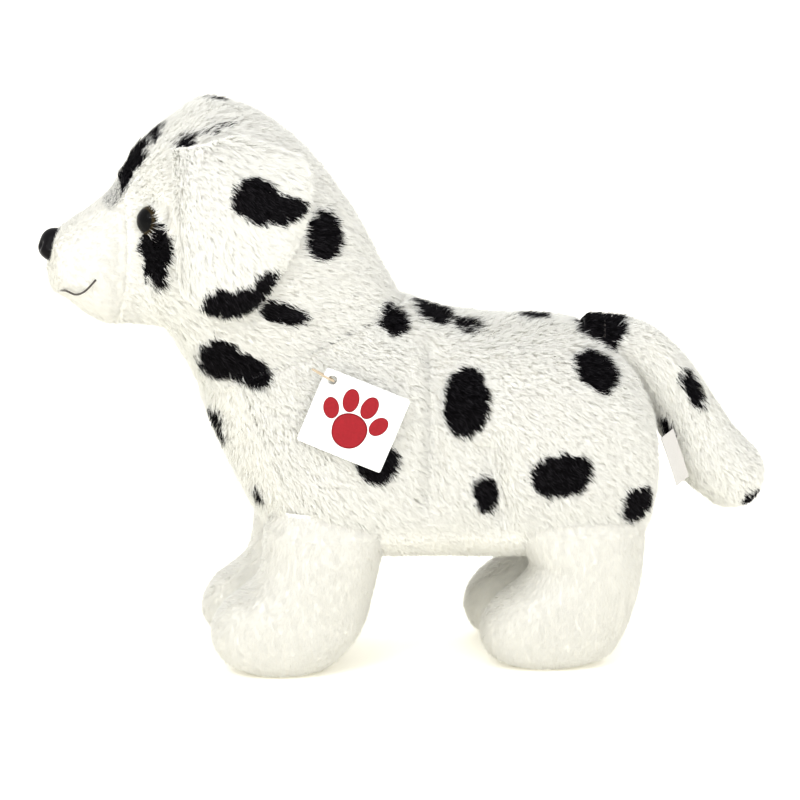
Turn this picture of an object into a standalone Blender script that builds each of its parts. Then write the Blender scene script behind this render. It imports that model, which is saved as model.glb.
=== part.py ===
"""A standing plush dog: sewn plush covers over stuffing, with safety eyes and nose, floppy ears,
a soft tail, a folded swing tag and a care label.

Metres, +Z up. The dog faces -X and its left side faces -Y. It stands on z = 0, with the origin
under the middle of its box. Covers include their pile: their outer faces lie at the pile's tips.
"""

import math

import bmesh
import bpy
import numpy as np
from mathutils import Vector

MM = 0.001
GAP = 0.3 * MM  # between pieces that touch

# Overall sizes
LENGTH = 301.0 * MM  # nose to tail tip
HEIGHT = 233.0 * MM  # soles to crown

# Widths across the dog
TORSO_WIDTH = 93.0 * MM
HEAD_WIDTH = 90.0 * MM
MUZZLE_WIDTH = 51.0 * MM
LEG_WIDTH = 43.0 * MM
LEG_SPACING = TORSO_WIDTH - LEG_WIDTH - 1.0 * MM  # between a left and a right leg's centres
TAIL_DIAMETER = 34.0 * MM

# Covers
BODY_COVER = 5.0 * MM  # backing cloth and long pile
LEG_COVER = 3.6 * MM  # backing cloth and short pile
MUZZLE_COVER = 3.4 * MM
SOLE_THICKNESS = 2.4 * MM
LEG_SEAM = 1.1 * MM  # between a leg's top and the torso above it
STUFFING_ROOM = 1.5 * MM  # between the stuffing and the covers round it
EAR_COVER = 3.8 * MM
EAR_LINING = 2.2 * MM
EAR_CLEARANCE = 1.6 * MM  # between the lining and the head

# Safety eyes and nose
EYE_DIAMETER = 12.0 * MM
EYE_HEIGHT = 5.2 * MM
EYE_SEAT = 2.6 * MM  # how far the dome sits down in the pile
NOSE_WIDTH = 15.0 * MM
NOSE_HEIGHT = 13.5 * MM
NOSE_DEPTH = 7.0 * MM
NOSE_SEAT = 3.6 * MM  # how far the rim sits down in the pile
FLANGE = 0.8 * MM  # under the rim of an eye and of the nose
SHANK_DIAMETER = 4.0 * MM
SHANK_LENGTH = 12.0 * MM
SHANK_CLEARANCE = 0.4 * MM
WASHER_DIAMETER = 13.0 * MM
WASHER_THICKNESS = 1.8 * MM
WASHER_SLACK = 2.1 * MM  # between the cover's back and the washer

# Thread, tag and label
THREAD_DIAMETER = 0.9 * MM
TAG_WIDTH = 36.0 * MM
TAG_HEIGHT = 31.5 * MM
TAG_CARD = 0.6 * MM
TAG_HOLE = 3.8 * MM
TAG_HOLE_INSET = 4.0 * MM
TAG_STANDOFF = 1.6 * MM  # between the flank and the back leaf
LABEL_LENGTH = 21.0 * MM
LABEL_WIDTH = 10.5 * MM
LABEL_THICKNESS = 0.6 * MM

TAIL_WAG_ROOM = 1.42  # width of the hollow under the tail, in tail widths
TAIL_ROOT_ROOM = 3.4 * MM  # between the tail's root and the back of its hollow

LEFT = -1.0
RIGHT = 1.0

# The body's outline from the rump to the neck. Each row is one cross-section, which stands
# across the dog: its top point, its bottom point, its share of the full width, and how square
# its lower half is. Points are in millimetres on a dog 301 long and 233 high.
TORSO_SECTIONS = (
    (102.5, 86.0, 102.5, 84.0, 0.00, 2.2),
    (101.4, 101.0, 101.8, 68.0, 0.52, 2.4),
    (97.5, 112.5, 99.5, 56.5, 0.73, 2.6),
    (90.0, 126.0, 95.0, 49.0, 0.86, 2.9),
    (78.0, 136.5, 86.0, 45.0, 0.95, 3.2),
    (60.0, 141.7, 66.0, 43.0, 1.00, 3.4),
    (38.0, 142.6, 40.0, 42.0, 0.99, 3.0),
    (20.0, 144.6, 16.0, 41.5, 0.94, 2.6),
    (9.0, 147.6, -12.0, 43.0, 0.97, 3.0),
    (4.0, 149.6, -40.0, 47.0, 1.00, 3.3),
    (1.0, 150.6, -62.0, 61.0, 0.98, 3.0),
    (-0.6, 151.2, -76.5, 86.0, 0.92, 2.6),
    (-2.0, 151.5, -87.0, 112.5, 0.82, 2.2),
)

# The head's outline from the neck over the crown to the front of the muzzle, in the same form.
# The share is of the head's width.
HEAD_SECTIONS = (
    (-2.0, 151.5, -87.0, 112.5, 0.847, 2.2),
    (-9.5, 165.0, -88.0, 115.5, 0.88, 2.2),
    (-20.0, 185.0, -89.5, 118.5, 0.93, 2.2),
    (-35.0, 206.0, -91.0, 122.0, 0.97, 2.2),
    (-50.0, 220.5, -93.0, 125.5, 1.00, 2.2),
    (-66.0, 229.8, -95.5, 129.5, 1.00, 2.2),
    (-82.6, 233.0, -98.0, 133.5, 0.98, 2.3),
    (-94.5, 226.8, -101.0, 137.0, 0.94, 2.3),
    (-103.5, 220.2, -105.0, 138.3, 0.86, 2.3),
    (-111.0, 213.6, -109.5, 138.7, 0.70, 2.3),
)

# The muzzle's outline, from the brow to the front. The share is of the muzzle's width.
MUZZLE_SECTIONS = (
    (-111.0, 213.6, -109.5, 138.7, 1.235, 2.3),
    (-115.2, 207.0, -114.5, 138.9, 1.06, 2.3),
    (-117.8, 201.0, -119.5, 139.3, 1.00, 2.3),
    (-120.8, 195.6, -124.8, 140.4, 1.00, 2.3),
    (-129.0, 188.6, -131.5, 144.2, 0.95, 2.3),
    (-137.2, 183.2, -138.8, 150.0, 0.80, 2.2),
    (-143.8, 177.0, -144.8, 154.6, 0.56, 2.1),
    (-147.4, 165.0, -147.4, 164.0, 0.00, 2.0),
)

# A leg's outline from the sole up: height, front, back, share of the leg's width.
FRONT_LEG = (
    (0.0, -70.5, -36.0, 0.68),
    (2.5, -75.5, -32.2, 0.80),
    (6.0, -79.8, -28.5, 0.90),
    (12.0, -83.2, -23.2, 0.98),
    (18.0, -83.6, -19.6, 1.00),
    (24.0, -81.4, -17.4, 1.00),
    (29.5, -77.0, -16.0, 1.00),
    (34.5, -70.0, -14.8, 1.00),
    (40.0, -64.6, -13.6, 1.00),
    (48.0, -62.4, -12.0, 1.00),
    (58.0, -61.6, -10.2, 0.97),
    (68.0, -60.8, -9.5, 0.88),
)
HIND_LEG = (
    (0.0, 37.0, 75.0, 0.68),
    (2.5, 32.0, 80.5, 0.80),
    (6.0, 28.6, 84.0, 0.90),
    (13.0, 26.4, 88.0, 0.98),
    (21.0, 28.2, 91.0, 1.00),
    (28.0, 33.6, 93.0, 1.00),
    (35.0, 42.6, 94.4, 1.00),
    (41.0, 46.6, 95.2, 1.00),
    (47.0, 43.8, 95.8, 1.00),
    (56.0, 38.0, 96.0, 0.97),
    (66.0, 36.5, 94.5, 0.88),
)

# The tail's centre line: X, Z and the share of the tail's diameter.
TAIL_LINE = (
    (80.5, 128.5, 0.75),
    (92.0, 126.5, 0.79),
    (102.5, 118.5, 0.82),
    (111.0, 107.0, 0.86),
    (118.0, 94.5, 0.93),
    (125.5, 82.0, 1.00),
    (135.1, 72.0, 0.93),
)

# The ear's root line and its free edge from front to rear, as X and Z on the head's side.
EAR_ROOT = ((-97.0, 214.5), (-73.0, 219.5))
EAR_EDGE = (
    (-97.0, 163.5),
    (-91.0, 155.8),
    (-83.0, 150.6),
    (-73.0, 149.6),
    (-63.8, 155.0),
    (-57.0, 164.5),
    (-50.5, 175.0),
    (-45.5, 186.0),
    (-43.2, 197.0),
    (-45.0, 207.5),
    (-52.5, 214.5),
)

BELLY_SEAM = 0.72 * math.pi  # angle from the ridge down to the belly panel's seam
GUSSET_SEAM = 0.15 * math.pi  # half the angle of the strip over the crown
MUZZLE_SEAM_BACK = 0.9  # how far the muzzle's seam runs back at the cheeks, in sections
EYE_ANGLE = 0.42 * math.pi  # angle from the ridge down to the eye
EYE_SECTION = -0.3  # ahead of the head's last section
MOUTH_CORNER = 0.64 * math.pi
NOSE_SECTION = -0.62  # ahead of the muzzle's last section
NOSE_TILT = math.radians(18.0)
TAG_TILT = math.radians(23.0)
TAG_OPENING = math.radians(4.0)
LABEL_TURN = math.radians(50.0)  # of the label about its own length, away from the left side

X_SCALE = LENGTH / (301.0 * MM) * MM
Z_SCALE = HEIGHT / (233.0 * MM) * MM


# ---------------------------------------------------------------- scene and mesh helpers


def clear_scene():
    for obj in list(bpy.data.objects):
        bpy.data.objects.remove(obj, do_unlink=True)


def material(name, colour, roughness):
    found = bpy.data.materials.get(name)
    if found:
        return found
    made = bpy.data.materials.new(name)
    made.use_nodes = True
    shader = made.node_tree.nodes["Principled BSDF"]
    shader.inputs["Base Color"].default_value = (*colour, 1.0)
    shader.inputs["Roughness"].default_value = roughness
    shader.inputs["Metallic"].default_value = 0.0
    return made


MATERIALS = {
    "plush_long": ((0.92, 0.91, 0.87), 0.95),
    "plush_short": ((0.90, 0.89, 0.84), 0.95),
    "stuffing": ((0.93, 0.93, 0.93), 1.0),
    "black_plastic": ((0.01, 0.01, 0.012), 0.12),
    "washer_plastic": ((0.75, 0.75, 0.72), 0.5),
    "thread": ((0.35, 0.27, 0.2), 0.8),
    "card": ((0.93, 0.92, 0.9), 0.45),
    "ribbon": ((0.9, 0.89, 0.87), 0.6),
}


def new_object(name, points, faces, slot, parent=None):
    """A mesh object from points and faces, closed at its doubled points, with faces pointing out."""
    mesh = bpy.data.meshes.new(name)
    mesh.from_pydata([tuple(p) for p in np.reshape(points, (-1, 3))], [], faces)
    work = bmesh.new()
    work.from_mesh(mesh)
    bmesh.ops.remove_doubles(work, verts=work.verts, dist=1e-6)
    bmesh.ops.recalc_face_normals(work, faces=work.faces)
    work.to_mesh(mesh)
    work.free()
    mesh.shade_smooth()
    mesh.set_sharp_from_angle(angle=math.radians(40.0))
    obj = bpy.data.objects.new(name, mesh)
    bpy.context.scene.collection.objects.link(obj)
    if slot:
        mesh.materials.append(material(slot, *MATERIALS[slot]))
    else:
        obj.hide_render = True
        obj.display_type = "WIRE"
    if parent:
        keep_place(obj, parent)
    return obj


def keep_place(obj, parent):
    """Parents obj with its origin moved onto the parent's, and its mesh left where it was."""
    obj.data.transform(parent.matrix_world.inverted())
    obj.parent = parent


def joint_empty(name, place, parent=None):
    empty = bpy.data.objects.new(name, None)
    bpy.context.scene.collection.objects.link(empty)
    if parent:
        empty.parent = parent
        empty.location = Vector(place) - parent.matrix_world.translation
    else:
        empty.location = place
    bpy.context.view_layer.update()
    return empty


def grid_faces(rows, columns, wrap=False, start=0, flip=False):
    faces = []
    for i in range(rows - 1):
        for j in range(columns if wrap else columns - 1):
            k = (j + 1) % columns
            a, b = start + i * columns + j, start + (i + 1) * columns + j
            c, d = start + (i + 1) * columns + k, start + i * columns + k
            faces += [(c, b, a), (d, c, a)] if flip else [(a, b, c), (a, c, d)]
    return faces


def slab(name, outer, inner, slot, parent=None, wrap=False, pole=False):
    """A closed sheet between two grids of points of shape (rows, columns, 3). With pole, each
    grid's last row is one point, so the sheet has no rim there."""
    rows, columns = outer.shape[:2]
    count = rows * columns
    faces = grid_faces(rows, columns, wrap)
    faces += grid_faces(rows, columns, wrap, count, flip=True)
    for i in (0,) if pole else (0, rows - 1):
        for j in range(columns if wrap else columns - 1):
            a, b = i * columns + j, i * columns + (j + 1) % columns
            faces.append((a, b, b + count, a + count))
    if not wrap:
        for j in (0, columns - 1):
            for i in range(rows - 1):
                a, b = i * columns + j, (i + 1) * columns + j
                faces.append((a, b, b + count, a + count))
    points = np.concatenate([outer.reshape(-1, 3), inner.reshape(-1, 3)])
    return new_object(name, points, faces, slot, parent)


def closed_tube(name, grid, slot, parent=None):
    """A closed solid from rings of points, with a flat fan over each end."""
    rows, columns = grid.shape[:2]
    points = np.concatenate([grid.reshape(-1, 3), grid[:1].mean(axis=1), grid[-1:].mean(axis=1)])
    faces = grid_faces(rows, columns, wrap=True)
    first, last = rows * columns, rows * columns + 1
    for j in range(columns):
        k = (j + 1) % columns
        faces.append((first, j, k))
        faces.append((last, (rows - 1) * columns + k, (rows - 1) * columns + j))
    return new_object(name, points, faces, slot, parent)


def cut(obj, cutter):
    """Takes the cutter's shape out of obj."""
    modifier = obj.modifiers.new("Cut " + cutter.name, "BOOLEAN")
    modifier.operation = "DIFFERENCE"
    modifier.solver = "EXACT"
    modifier.object = cutter


def turned(name, profile, place, axis, slot, steps=18, parent=None):
    """A solid turned about axis through place, from a closed profile of (radius, height) pairs."""
    radius, height = np.array(profile, float).T
    angle = np.arange(steps) * 2.0 * math.pi / steps
    ring = np.stack(
        [
            radius[:, None] * np.cos(angle),
            radius[:, None] * np.sin(angle),
            height[:, None] + 0.0 * angle,
        ],
        axis=-1,
    )
    turn = np.array(Vector(axis).to_track_quat("Z", "Y").to_matrix())
    points = ring @ turn.T + np.array(place)
    rows = len(radius)
    faces = grid_faces(rows, steps, wrap=True)
    if radius[0] > 0.0:
        for j in range(steps):
            k = (j + 1) % steps
            faces.append(((rows - 1) * steps + j, j, k, (rows - 1) * steps + k))
    return new_object(name, points, faces, slot, parent)


# ---------------------------------------------------------------- surfaces


def smooth_rows(rows, t):
    """A Catmull-Rom curve through rows, read at the places t, where row i is at t = i."""
    rows = np.asarray(rows, float)
    last = len(rows) - 1
    t = np.clip(t, 0.0, last)
    i = np.minimum(t.astype(int), last - 1)
    f = (t - i)[..., None]
    before = np.where((i > 0)[..., None], rows[i - 1], 2.0 * rows[0] - rows[1])
    beyond = 2.0 * rows[last] - rows[last - 1]
    after = np.where((i + 2 <= last)[..., None], rows[np.minimum(i + 2, last)], beyond)
    a, b = rows[i], rows[i + 1]
    cubic = 3.0 * (a - b) + after - before
    square = 2.0 * before - 5.0 * a + 4.0 * b - after
    return a + 0.5 * f * (b - before + f * (square + f * cubic))


def section_surface(sections, width):
    """The surface through the cross-sections, as a function of t along them and of the angle a,
    which is 0 on the ridge, pi/2 on the dog's left side and pi underneath."""

    def surface(t, a):
        top_x, top_z, low_x, low_z, share, square = np.moveaxis(smooth_rows(sections, t), -1, 0)
        power = np.where(np.cos(a) > 0.0, 2.1, np.maximum(square, 2.0))
        reach = (np.abs(np.sin(a)) ** power + np.abs(np.cos(a)) ** power) ** (-1.0 / power)
        up = 0.5 * reach * np.cos(a)
        side = 0.5 * width * np.maximum(share, 0.0) * reach * np.sin(a)
        x = 0.5 * (top_x + low_x) + (top_x - low_x) * up
        z = 0.5 * (top_z + low_z) + (top_z - low_z) * up
        return np.stack([x * X_SCALE, -side, z * Z_SCALE], axis=-1)

    return surface


def normals(surface, t, a, last):
    """Unit normals of the surface, pointing out, from small steps along both parameters."""
    step = 0.02
    inside = np.clip(t, step * 2.0, last - step * 2.0)
    along = surface(inside + step, a) - surface(inside - step, a)
    around = surface(inside, a + step) - surface(inside, a - step)
    found = np.cross(along, around)
    return found / np.maximum(np.linalg.norm(found, axis=-1, keepdims=True), 1e-12)


def in_plane(vectors, normal):
    """The unit parts of the vectors that lie in the plane."""
    flat = vectors - (vectors @ normal)[..., None] * normal
    return flat / np.linalg.norm(flat, axis=-1, keepdims=True)


def plane_of(section):
    """The unit normal of a cross-section's plane, pointing along the body towards the head."""
    top_x, top_z, low_x, low_z = section[:4]
    up = np.array([(top_x - low_x) * X_SCALE, 0.0, (top_z - low_z) * Z_SCALE])
    up /= np.linalg.norm(up)
    return np.array([-up[2], 0.0, up[0]])


torso = section_surface(TORSO_SECTIONS, TORSO_WIDTH)
head = section_surface(HEAD_SECTIONS, HEAD_WIDTH)
muzzle = section_surface(MUZZLE_SECTIONS, MUZZLE_WIDTH)
TORSO_LAST = len(TORSO_SECTIONS) - 1.0
HEAD_LAST = len(HEAD_SECTIONS) - 1.0
MUZZLE_LAST = len(MUZZLE_SECTIONS) - 1.0
NECK_NORMAL = plane_of(TORSO_SECTIONS[-1])
NECK_CENTRE = torso(np.array([TORSO_LAST]), np.array([0.5 * math.pi]))[0] * (1.0, 0.0, 1.0)


def torso_grid(t, a, grow):
    """Points of the torso's surface moved out by grow, flat at the neck."""
    t, a = np.meshgrid(t, a, indexing="ij")
    outward = normals(torso, t, a, TORSO_LAST)
    reach = torso(t, a) - torso(t, a).mean(axis=1, keepdims=True)
    outward *= np.sign(np.sum(outward * reach, axis=-1, keepdims=True))
    outward[t <= 0.0] = (1.0, 0.0, 0.0)
    outward[-1] = in_plane(outward[-1], NECK_NORMAL)
    return torso(t, a) + outward * grow


def whole_head(t, a):
    """Head and muzzle as one surface: t runs over the head's sections and then the muzzle's."""
    front = np.clip(t - HEAD_LAST, 0.0, MUZZLE_LAST)
    share = (t > HEAD_LAST)[..., None]
    return np.where(share, muzzle(front, a), head(np.minimum(t, HEAD_LAST), a))


WHOLE_LAST = HEAD_LAST + MUZZLE_LAST


def head_grid(t, a, grow):
    """Points of the head's surface at the places t and a, moved out by grow, flat at the neck."""
    outward = normals(whole_head, t, a, WHOLE_LAST)
    centre = whole_head(t, 0.0 * a) * 0.5 + whole_head(t, 0.0 * a + math.pi) * 0.5
    outward *= np.sign(np.sum(outward * (whole_head(t, a) - centre), axis=-1, keepdims=True))
    outward[t >= WHOLE_LAST] = (-1.0, 0.0, 0.0)
    neck = t <= 0.0
    if neck.any():
        outward[neck] = in_plane(outward[neck], NECK_NORMAL)
    return whole_head(t, a) + outward * grow + NECK_NORMAL * np.where(neck, 2.0 * GAP, 0.0)[..., None]


def head_point(t, a):
    """A point of the head's surface and the normal there."""
    t, a = np.array([[t]]), np.array([[a]])
    point = head_grid(t, a, 0.0)[0, 0]
    return point, (head_grid(t, a, 1.0)[0, 0] - point)


def leg_surface(outline, side):
    """A leg as rings at rising heights; the angle is 0 at the front and pi/2 on the outer side."""

    def surface(height, angle):
        z, front, back, share = np.moveaxis(smooth_rows(outline, height), -1, 0)
        power = 2.3
        reach = (np.abs(np.sin(angle)) ** power + np.abs(np.cos(angle)) ** power) ** (-1.0 / power)
        x = 0.5 * (front + back) - 0.5 * (back - front) * reach * np.cos(angle)
        y = 0.5 * LEG_SPACING + 0.5 * LEG_WIDTH * share * reach * np.sin(angle)
        return np.stack([x * X_SCALE, side * y, z * Z_SCALE], axis=-1)

    return surface


# ---------------------------------------------------------------- cutters


def tail_frame(t):
    """Centre, radius and the in-plane normal of the tail at the places t along it."""
    x, z, share = np.moveaxis(smooth_rows(TAIL_LINE, t), -1, 0)
    ahead = smooth_rows(TAIL_LINE, np.minimum(t + 0.05, len(TAIL_LINE) - 1.0))
    behind = smooth_rows(TAIL_LINE, np.maximum(t - 0.05, 0.0))
    step = ahead - behind
    run = np.stack([step[..., 0] * X_SCALE, 0.0 * t, step[..., 1] * Z_SCALE], axis=-1)
    run /= np.linalg.norm(run, axis=-1, keepdims=True)
    up = np.stack([-run[..., 2], 0.0 * t, run[..., 0]], axis=-1)
    centre = np.stack([x * X_SCALE, 0.0 * t, z * Z_SCALE], axis=-1)
    return centre, 0.5 * TAIL_DIAMETER * share, run, up


def tail_grid(rows, a, grow, stretch=1.0):
    """Rings along the tail and over its round tip, moved out by grow; a runs as on the torso."""
    last = len(TAIL_LINE) - 1.0
    body = np.linspace(0.0, last, rows)
    centre, radius, run, up = tail_frame(body)
    bend = np.linspace(0.0, 0.5 * math.pi, 5)[1:]
    tip_centre = centre[-1] + run[-1] * (radius[-1] + grow) * np.sin(bend)[:, None]
    tip_radius = (radius[-1] + grow) * np.cos(bend)
    centre = np.concatenate([centre, tip_centre])
    radius = np.concatenate([radius + grow, tip_radius])
    up = np.concatenate([up, np.repeat(up[-1:], len(bend), axis=0)])
    across = np.array([0.0, LEFT * stretch, 0.0])
    ring = up[:, None] * np.cos(a)[None, :, None] + across * np.sin(a)[None, :, None]
    return centre[:, None] + ring * radius[:, None, None]


def torso_cutter():
    """The torso's outside with a gap all round, which trims the tops of the legs."""
    angle = np.arange(28) * 2.0 * math.pi / 28
    grid = torso_grid(np.linspace(0.0, TORSO_LAST, 25), angle, LEG_SEAM)
    return closed_tube("torso_cutter", grid, None)


def tail_cutter():
    """The hollow that the tail lies in, wider than the tail so that it can wag."""
    angle = np.arange(16) * 2.0 * math.pi / 16
    grid = tail_grid(9, angle, 2.0 * GAP, TAIL_WAG_ROOM)
    centre, radius, run, up = tail_frame(np.array([0.0]))
    grid[0] -= run[0] * TAIL_ROOT_ROOM
    return closed_tube("tail_cutter", grid, None)


# ---------------------------------------------------------------- torso and legs


def make_torso(tail_hollow):
    along = np.linspace(0.0, TORSO_LAST, 19)
    half = 0.5 * GAP / (0.5 * TORSO_WIDTH)
    panels = (
        ("torso_left_panel", np.linspace(half, BELLY_SEAM - half, 9)),
        ("belly_panel", np.linspace(BELLY_SEAM + half, 2.0 * math.pi - BELLY_SEAM - half, 7)),
        ("torso_right_panel", np.linspace(2.0 * math.pi - BELLY_SEAM + half, 2.0 * math.pi - half, 9)),
    )
    # The panels meet at the rump a little short of the pole, so that each keeps an edge there.
    along[0] = 0.06
    for name, angle in panels:
        outer = torso_grid(along, angle, 0.0)
        inner = torso_grid(along, angle, -BODY_COVER)
        cut(slab(name, outer, inner, "plush_long"), tail_hollow)
    angle = np.arange(14) * 2.0 * math.pi / 14
    filling = torso_grid(np.linspace(0.0, TORSO_LAST, 15), angle, -BODY_COVER - STUFFING_ROOM)
    cut(closed_tube("torso_stuffing", filling, "stuffing"), tail_hollow)


def make_leg(name, outline, side, torso_outside):
    surface = leg_surface(outline, side)
    last = len(outline) - 1.0
    heights = [row[0] * Z_SCALE for row in outline]
    low = np.interp(SOLE_THICKNESS + GAP, heights, np.arange(last + 1.0))
    height = np.concatenate([[low], np.linspace(1.5, last, 9)])
    half = 0.5 * GAP / (0.5 * LEG_WIDTH)
    panels = (
        ("outer", np.linspace(half, math.pi - half, 8)),
        ("inner", np.linspace(math.pi + half, 2.0 * math.pi - half, 8)),
    )

    def ring_grid(height, angle, inset):
        h, a = np.meshgrid(height, angle, indexing="ij")
        outside = surface(h, a)
        centre = 0.5 * (surface(h, 0.0 * a) + surface(h, 0.0 * a + math.pi))
        reach = outside - centre
        size = np.linalg.norm(reach, axis=-1, keepdims=True)
        return centre + reach * (size - inset) / size

    for part, angle in panels:
        outer = ring_grid(height, angle, 0.0)
        inner = ring_grid(height, angle, LEG_COVER)
        cut(slab(f"{name}_leg_{part}_panel", outer, inner, "plush_short"), torso_outside)
    angle = np.arange(20) * 2.0 * math.pi / 20
    sole_rows = np.interp([0.0, SOLE_THICKNESS], heights, np.arange(last + 1.0))
    closed_tube(f"{name}_paw_sole", ring_grid(sole_rows, angle, 0.0), "plush_short")
    angle = np.arange(12) * 2.0 * math.pi / 12
    rows = np.concatenate([[low + 0.1], np.linspace(2.0, last, 9)])
    filling = ring_grid(rows, angle, LEG_COVER + STUFFING_ROOM)
    cut(closed_tube(f"{name}_leg_stuffing", filling, "stuffing"), torso_outside)


# ---------------------------------------------------------------- head


def seam_section(a):
    """Where the muzzle's seam lies on the head at each angle, in sections from the neck."""
    return HEAD_LAST + 2.2 - MUZZLE_SEAM_BACK * np.sin(a) ** 2


def head_patch(rows, angle, start, end, grow):
    """Head points with the rows spread between the sections start and end at each angle."""
    share = np.linspace(0.0, 1.0, rows)[:, None]
    t = start(angle)[None] * (1.0 - share) + end(angle)[None] * share
    return head_grid(t, np.broadcast_to(angle, t.shape), grow)


def make_head(parent, pockets):
    half = 0.5 * GAP / (0.5 * HEAD_WIDTH)
    seam_gap = 0.09
    panels = (
        ("head_left_panel", np.linspace(GUSSET_SEAM + half, math.pi - half, 9)),
        ("head_right_panel", np.linspace(math.pi + half, 2.0 * math.pi - GUSSET_SEAM - half, 9)),
        ("head_gusset", np.linspace(half - GUSSET_SEAM, GUSSET_SEAM - half, 5)),
    )

    def neck(angle):
        return 0.0 * angle

    def seam_behind(angle):
        return seam_section(angle) - seam_gap

    def seam_ahead(angle):
        return seam_section(angle) + seam_gap

    def tip(angle):
        return 0.0 * angle + WHOLE_LAST

    for name, angle in panels:
        outer = head_patch(17, angle, neck, seam_behind, 0.0)
        inner = head_patch(17, angle, neck, seam_behind, -BODY_COVER)
        made = slab(name, outer, inner, "plush_long", parent)
        if name != "head_gusset":
            for pocket in pockets:
                cut(made, pocket)
    around = np.arange(20) * 2.0 * math.pi / 20
    outer = head_patch(7, around, seam_ahead, tip, 0.0)
    inner = head_patch(7, around, seam_ahead, tip, -MUZZLE_COVER)
    cover = slab("muzzle_cover", outer, inner, "plush_short", parent, wrap=True, pole=True)
    around = np.arange(16) * 2.0 * math.pi / 16
    t = np.broadcast_to(np.linspace(0.0, WHOLE_LAST, 17)[:, None], (17, 16))
    filling_grid = head_grid(t, np.broadcast_to(around, t.shape), -BODY_COVER - STUFFING_ROOM)
    filling = closed_tube("head_stuffing", filling_grid, "stuffing", parent)
    for pocket in pockets:
        cut(cover, pocket)
        cut(filling, pocket)


def dome_profile(diameter, height, steps=5):
    """From the dome's top to its rim, as radius and height above the seat."""
    bend = np.linspace(0.0, 0.5 * math.pi, steps)
    return [(0.5 * diameter * math.sin(b), height * math.cos(b)) for b in bend]


def make_eye(name, place, axis, parent):
    """Dome, flange and shank in one turned solid, and the locking washer behind the cover."""
    rim, shank = 0.5 * EYE_DIAMETER, 0.5 * SHANK_DIAMETER
    profile = dome_profile(EYE_DIAMETER, EYE_HEIGHT)
    profile += [(rim, -FLANGE), (shank, -FLANGE), (shank, -SHANK_LENGTH), (0.0, -SHANK_LENGTH)]
    turned(name, profile, place, axis, "black_plastic", parent=parent)
    make_washer(name + "_washer", place, axis, parent)


def washer_depth():
    """How far behind the seat the washer's front lies: past the cover and its slack."""
    return BODY_COVER - EYE_SEAT + WASHER_SLACK


def make_washer(name, place, axis, parent):
    hole = 0.5 * SHANK_DIAMETER + GAP
    edge = 0.5 * WASHER_DIAMETER
    front = -washer_depth()
    back = front - WASHER_THICKNESS
    profile = [(hole, front), (edge, front), (edge, back), (hole, back)]
    turned(name, profile, place, axis, "washer_plastic", steps=16, parent=parent)


def pocket_cutter(name, place, axis, width):
    """The seat, the shank's hole and the washer's room, in one turned cutter."""
    seat = 0.5 * width + GAP
    hole = 0.5 * SHANK_DIAMETER + SHANK_CLEARANCE
    room = 0.5 * WASHER_DIAMETER + GAP
    front = -washer_depth() + GAP
    back = -SHANK_LENGTH - 2.0 * GAP
    above = NOSE_DEPTH + EYE_HEIGHT
    profile = [
        (0.0, above),
        (seat, above),
        (seat, -FLANGE - GAP),
        (hole, -FLANGE - GAP),
        (hole, front),
        (room, front),
        (room, -washer_depth() - WASHER_THICKNESS - GAP),
        (hole, -washer_depth() - WASHER_THICKNESS - GAP),
        (hole, back),
        (0.0, back),
    ]
    return turned(name, profile, place, axis, None, steps=20)


def nose_grid(grow, rows=6, steps=20):
    """Half widths of a rounded triangle, point down, as rings from the rim to the front."""
    angle = np.arange(steps) * 2.0 * math.pi / steps
    reach = 1.0 / (1.0 + 0.13 * np.cos(3.0 * (angle + 0.5 * math.pi)))
    bend = np.linspace(0.0, 0.5 * math.pi, rows)
    size = np.cos(bend) ** 0.7
    across = (0.5 * NOSE_WIDTH + grow) * reach * np.cos(angle)
    up = (0.5 * NOSE_HEIGHT + grow) * reach * np.sin(angle)
    out = (NOSE_DEPTH + grow) * np.sin(bend)
    return np.stack([size[:, None] * across, size[:, None] * up, out[:, None] + 0.0 * across], axis=-1)


def nose_frame():
    """The nose's seat, and the turn that takes its own axes to the dog's."""
    place = head_point(WHOLE_LAST + NOSE_SECTION, 0.0)[0]
    out = np.array([-math.cos(NOSE_TILT), 0.0, math.sin(NOSE_TILT)])
    up = np.array([math.sin(NOSE_TILT), 0.0, math.cos(NOSE_TILT)])
    across = np.cross(up, out)
    return place - out * NOSE_SEAT, np.stack([across, up, out])


def make_nose(parent):
    place, turn = nose_frame()
    grid = nose_grid(0.0)
    rings = [grid[0] * (1.0, 1.0, 0.0) - (0.0, 0.0, FLANGE)]
    angle = np.arange(20) * 2.0 * math.pi / 20
    shank = 0.5 * SHANK_DIAMETER
    for depth in (-FLANGE, -SHANK_LENGTH):
        ring = [shank * np.cos(angle), shank * np.sin(angle), 0.0 * angle + depth]
        rings.insert(0, np.stack(ring, axis=-1))
    points = np.concatenate([np.stack(rings), grid]) @ turn + place
    closed_tube("nose", points, "black_plastic", parent)
    make_washer("nose_washer", place, turn[2], parent)


def nose_pocket():
    place, turn = nose_frame()
    seat = nose_grid(GAP)[0]
    seat_rings = [seat * (1.0, 1.0, 0.0) + (0.0, 0.0, h) for h in (-FLANGE - GAP, NOSE_DEPTH + EYE_HEIGHT)]
    seat_cut = closed_tube("nose_seat_cutter", np.stack(seat_rings) @ turn + place, None)
    return seat_cut, pocket_cutter("nose_shank_cutter", place, turn[2], SHANK_DIAMETER)


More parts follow.
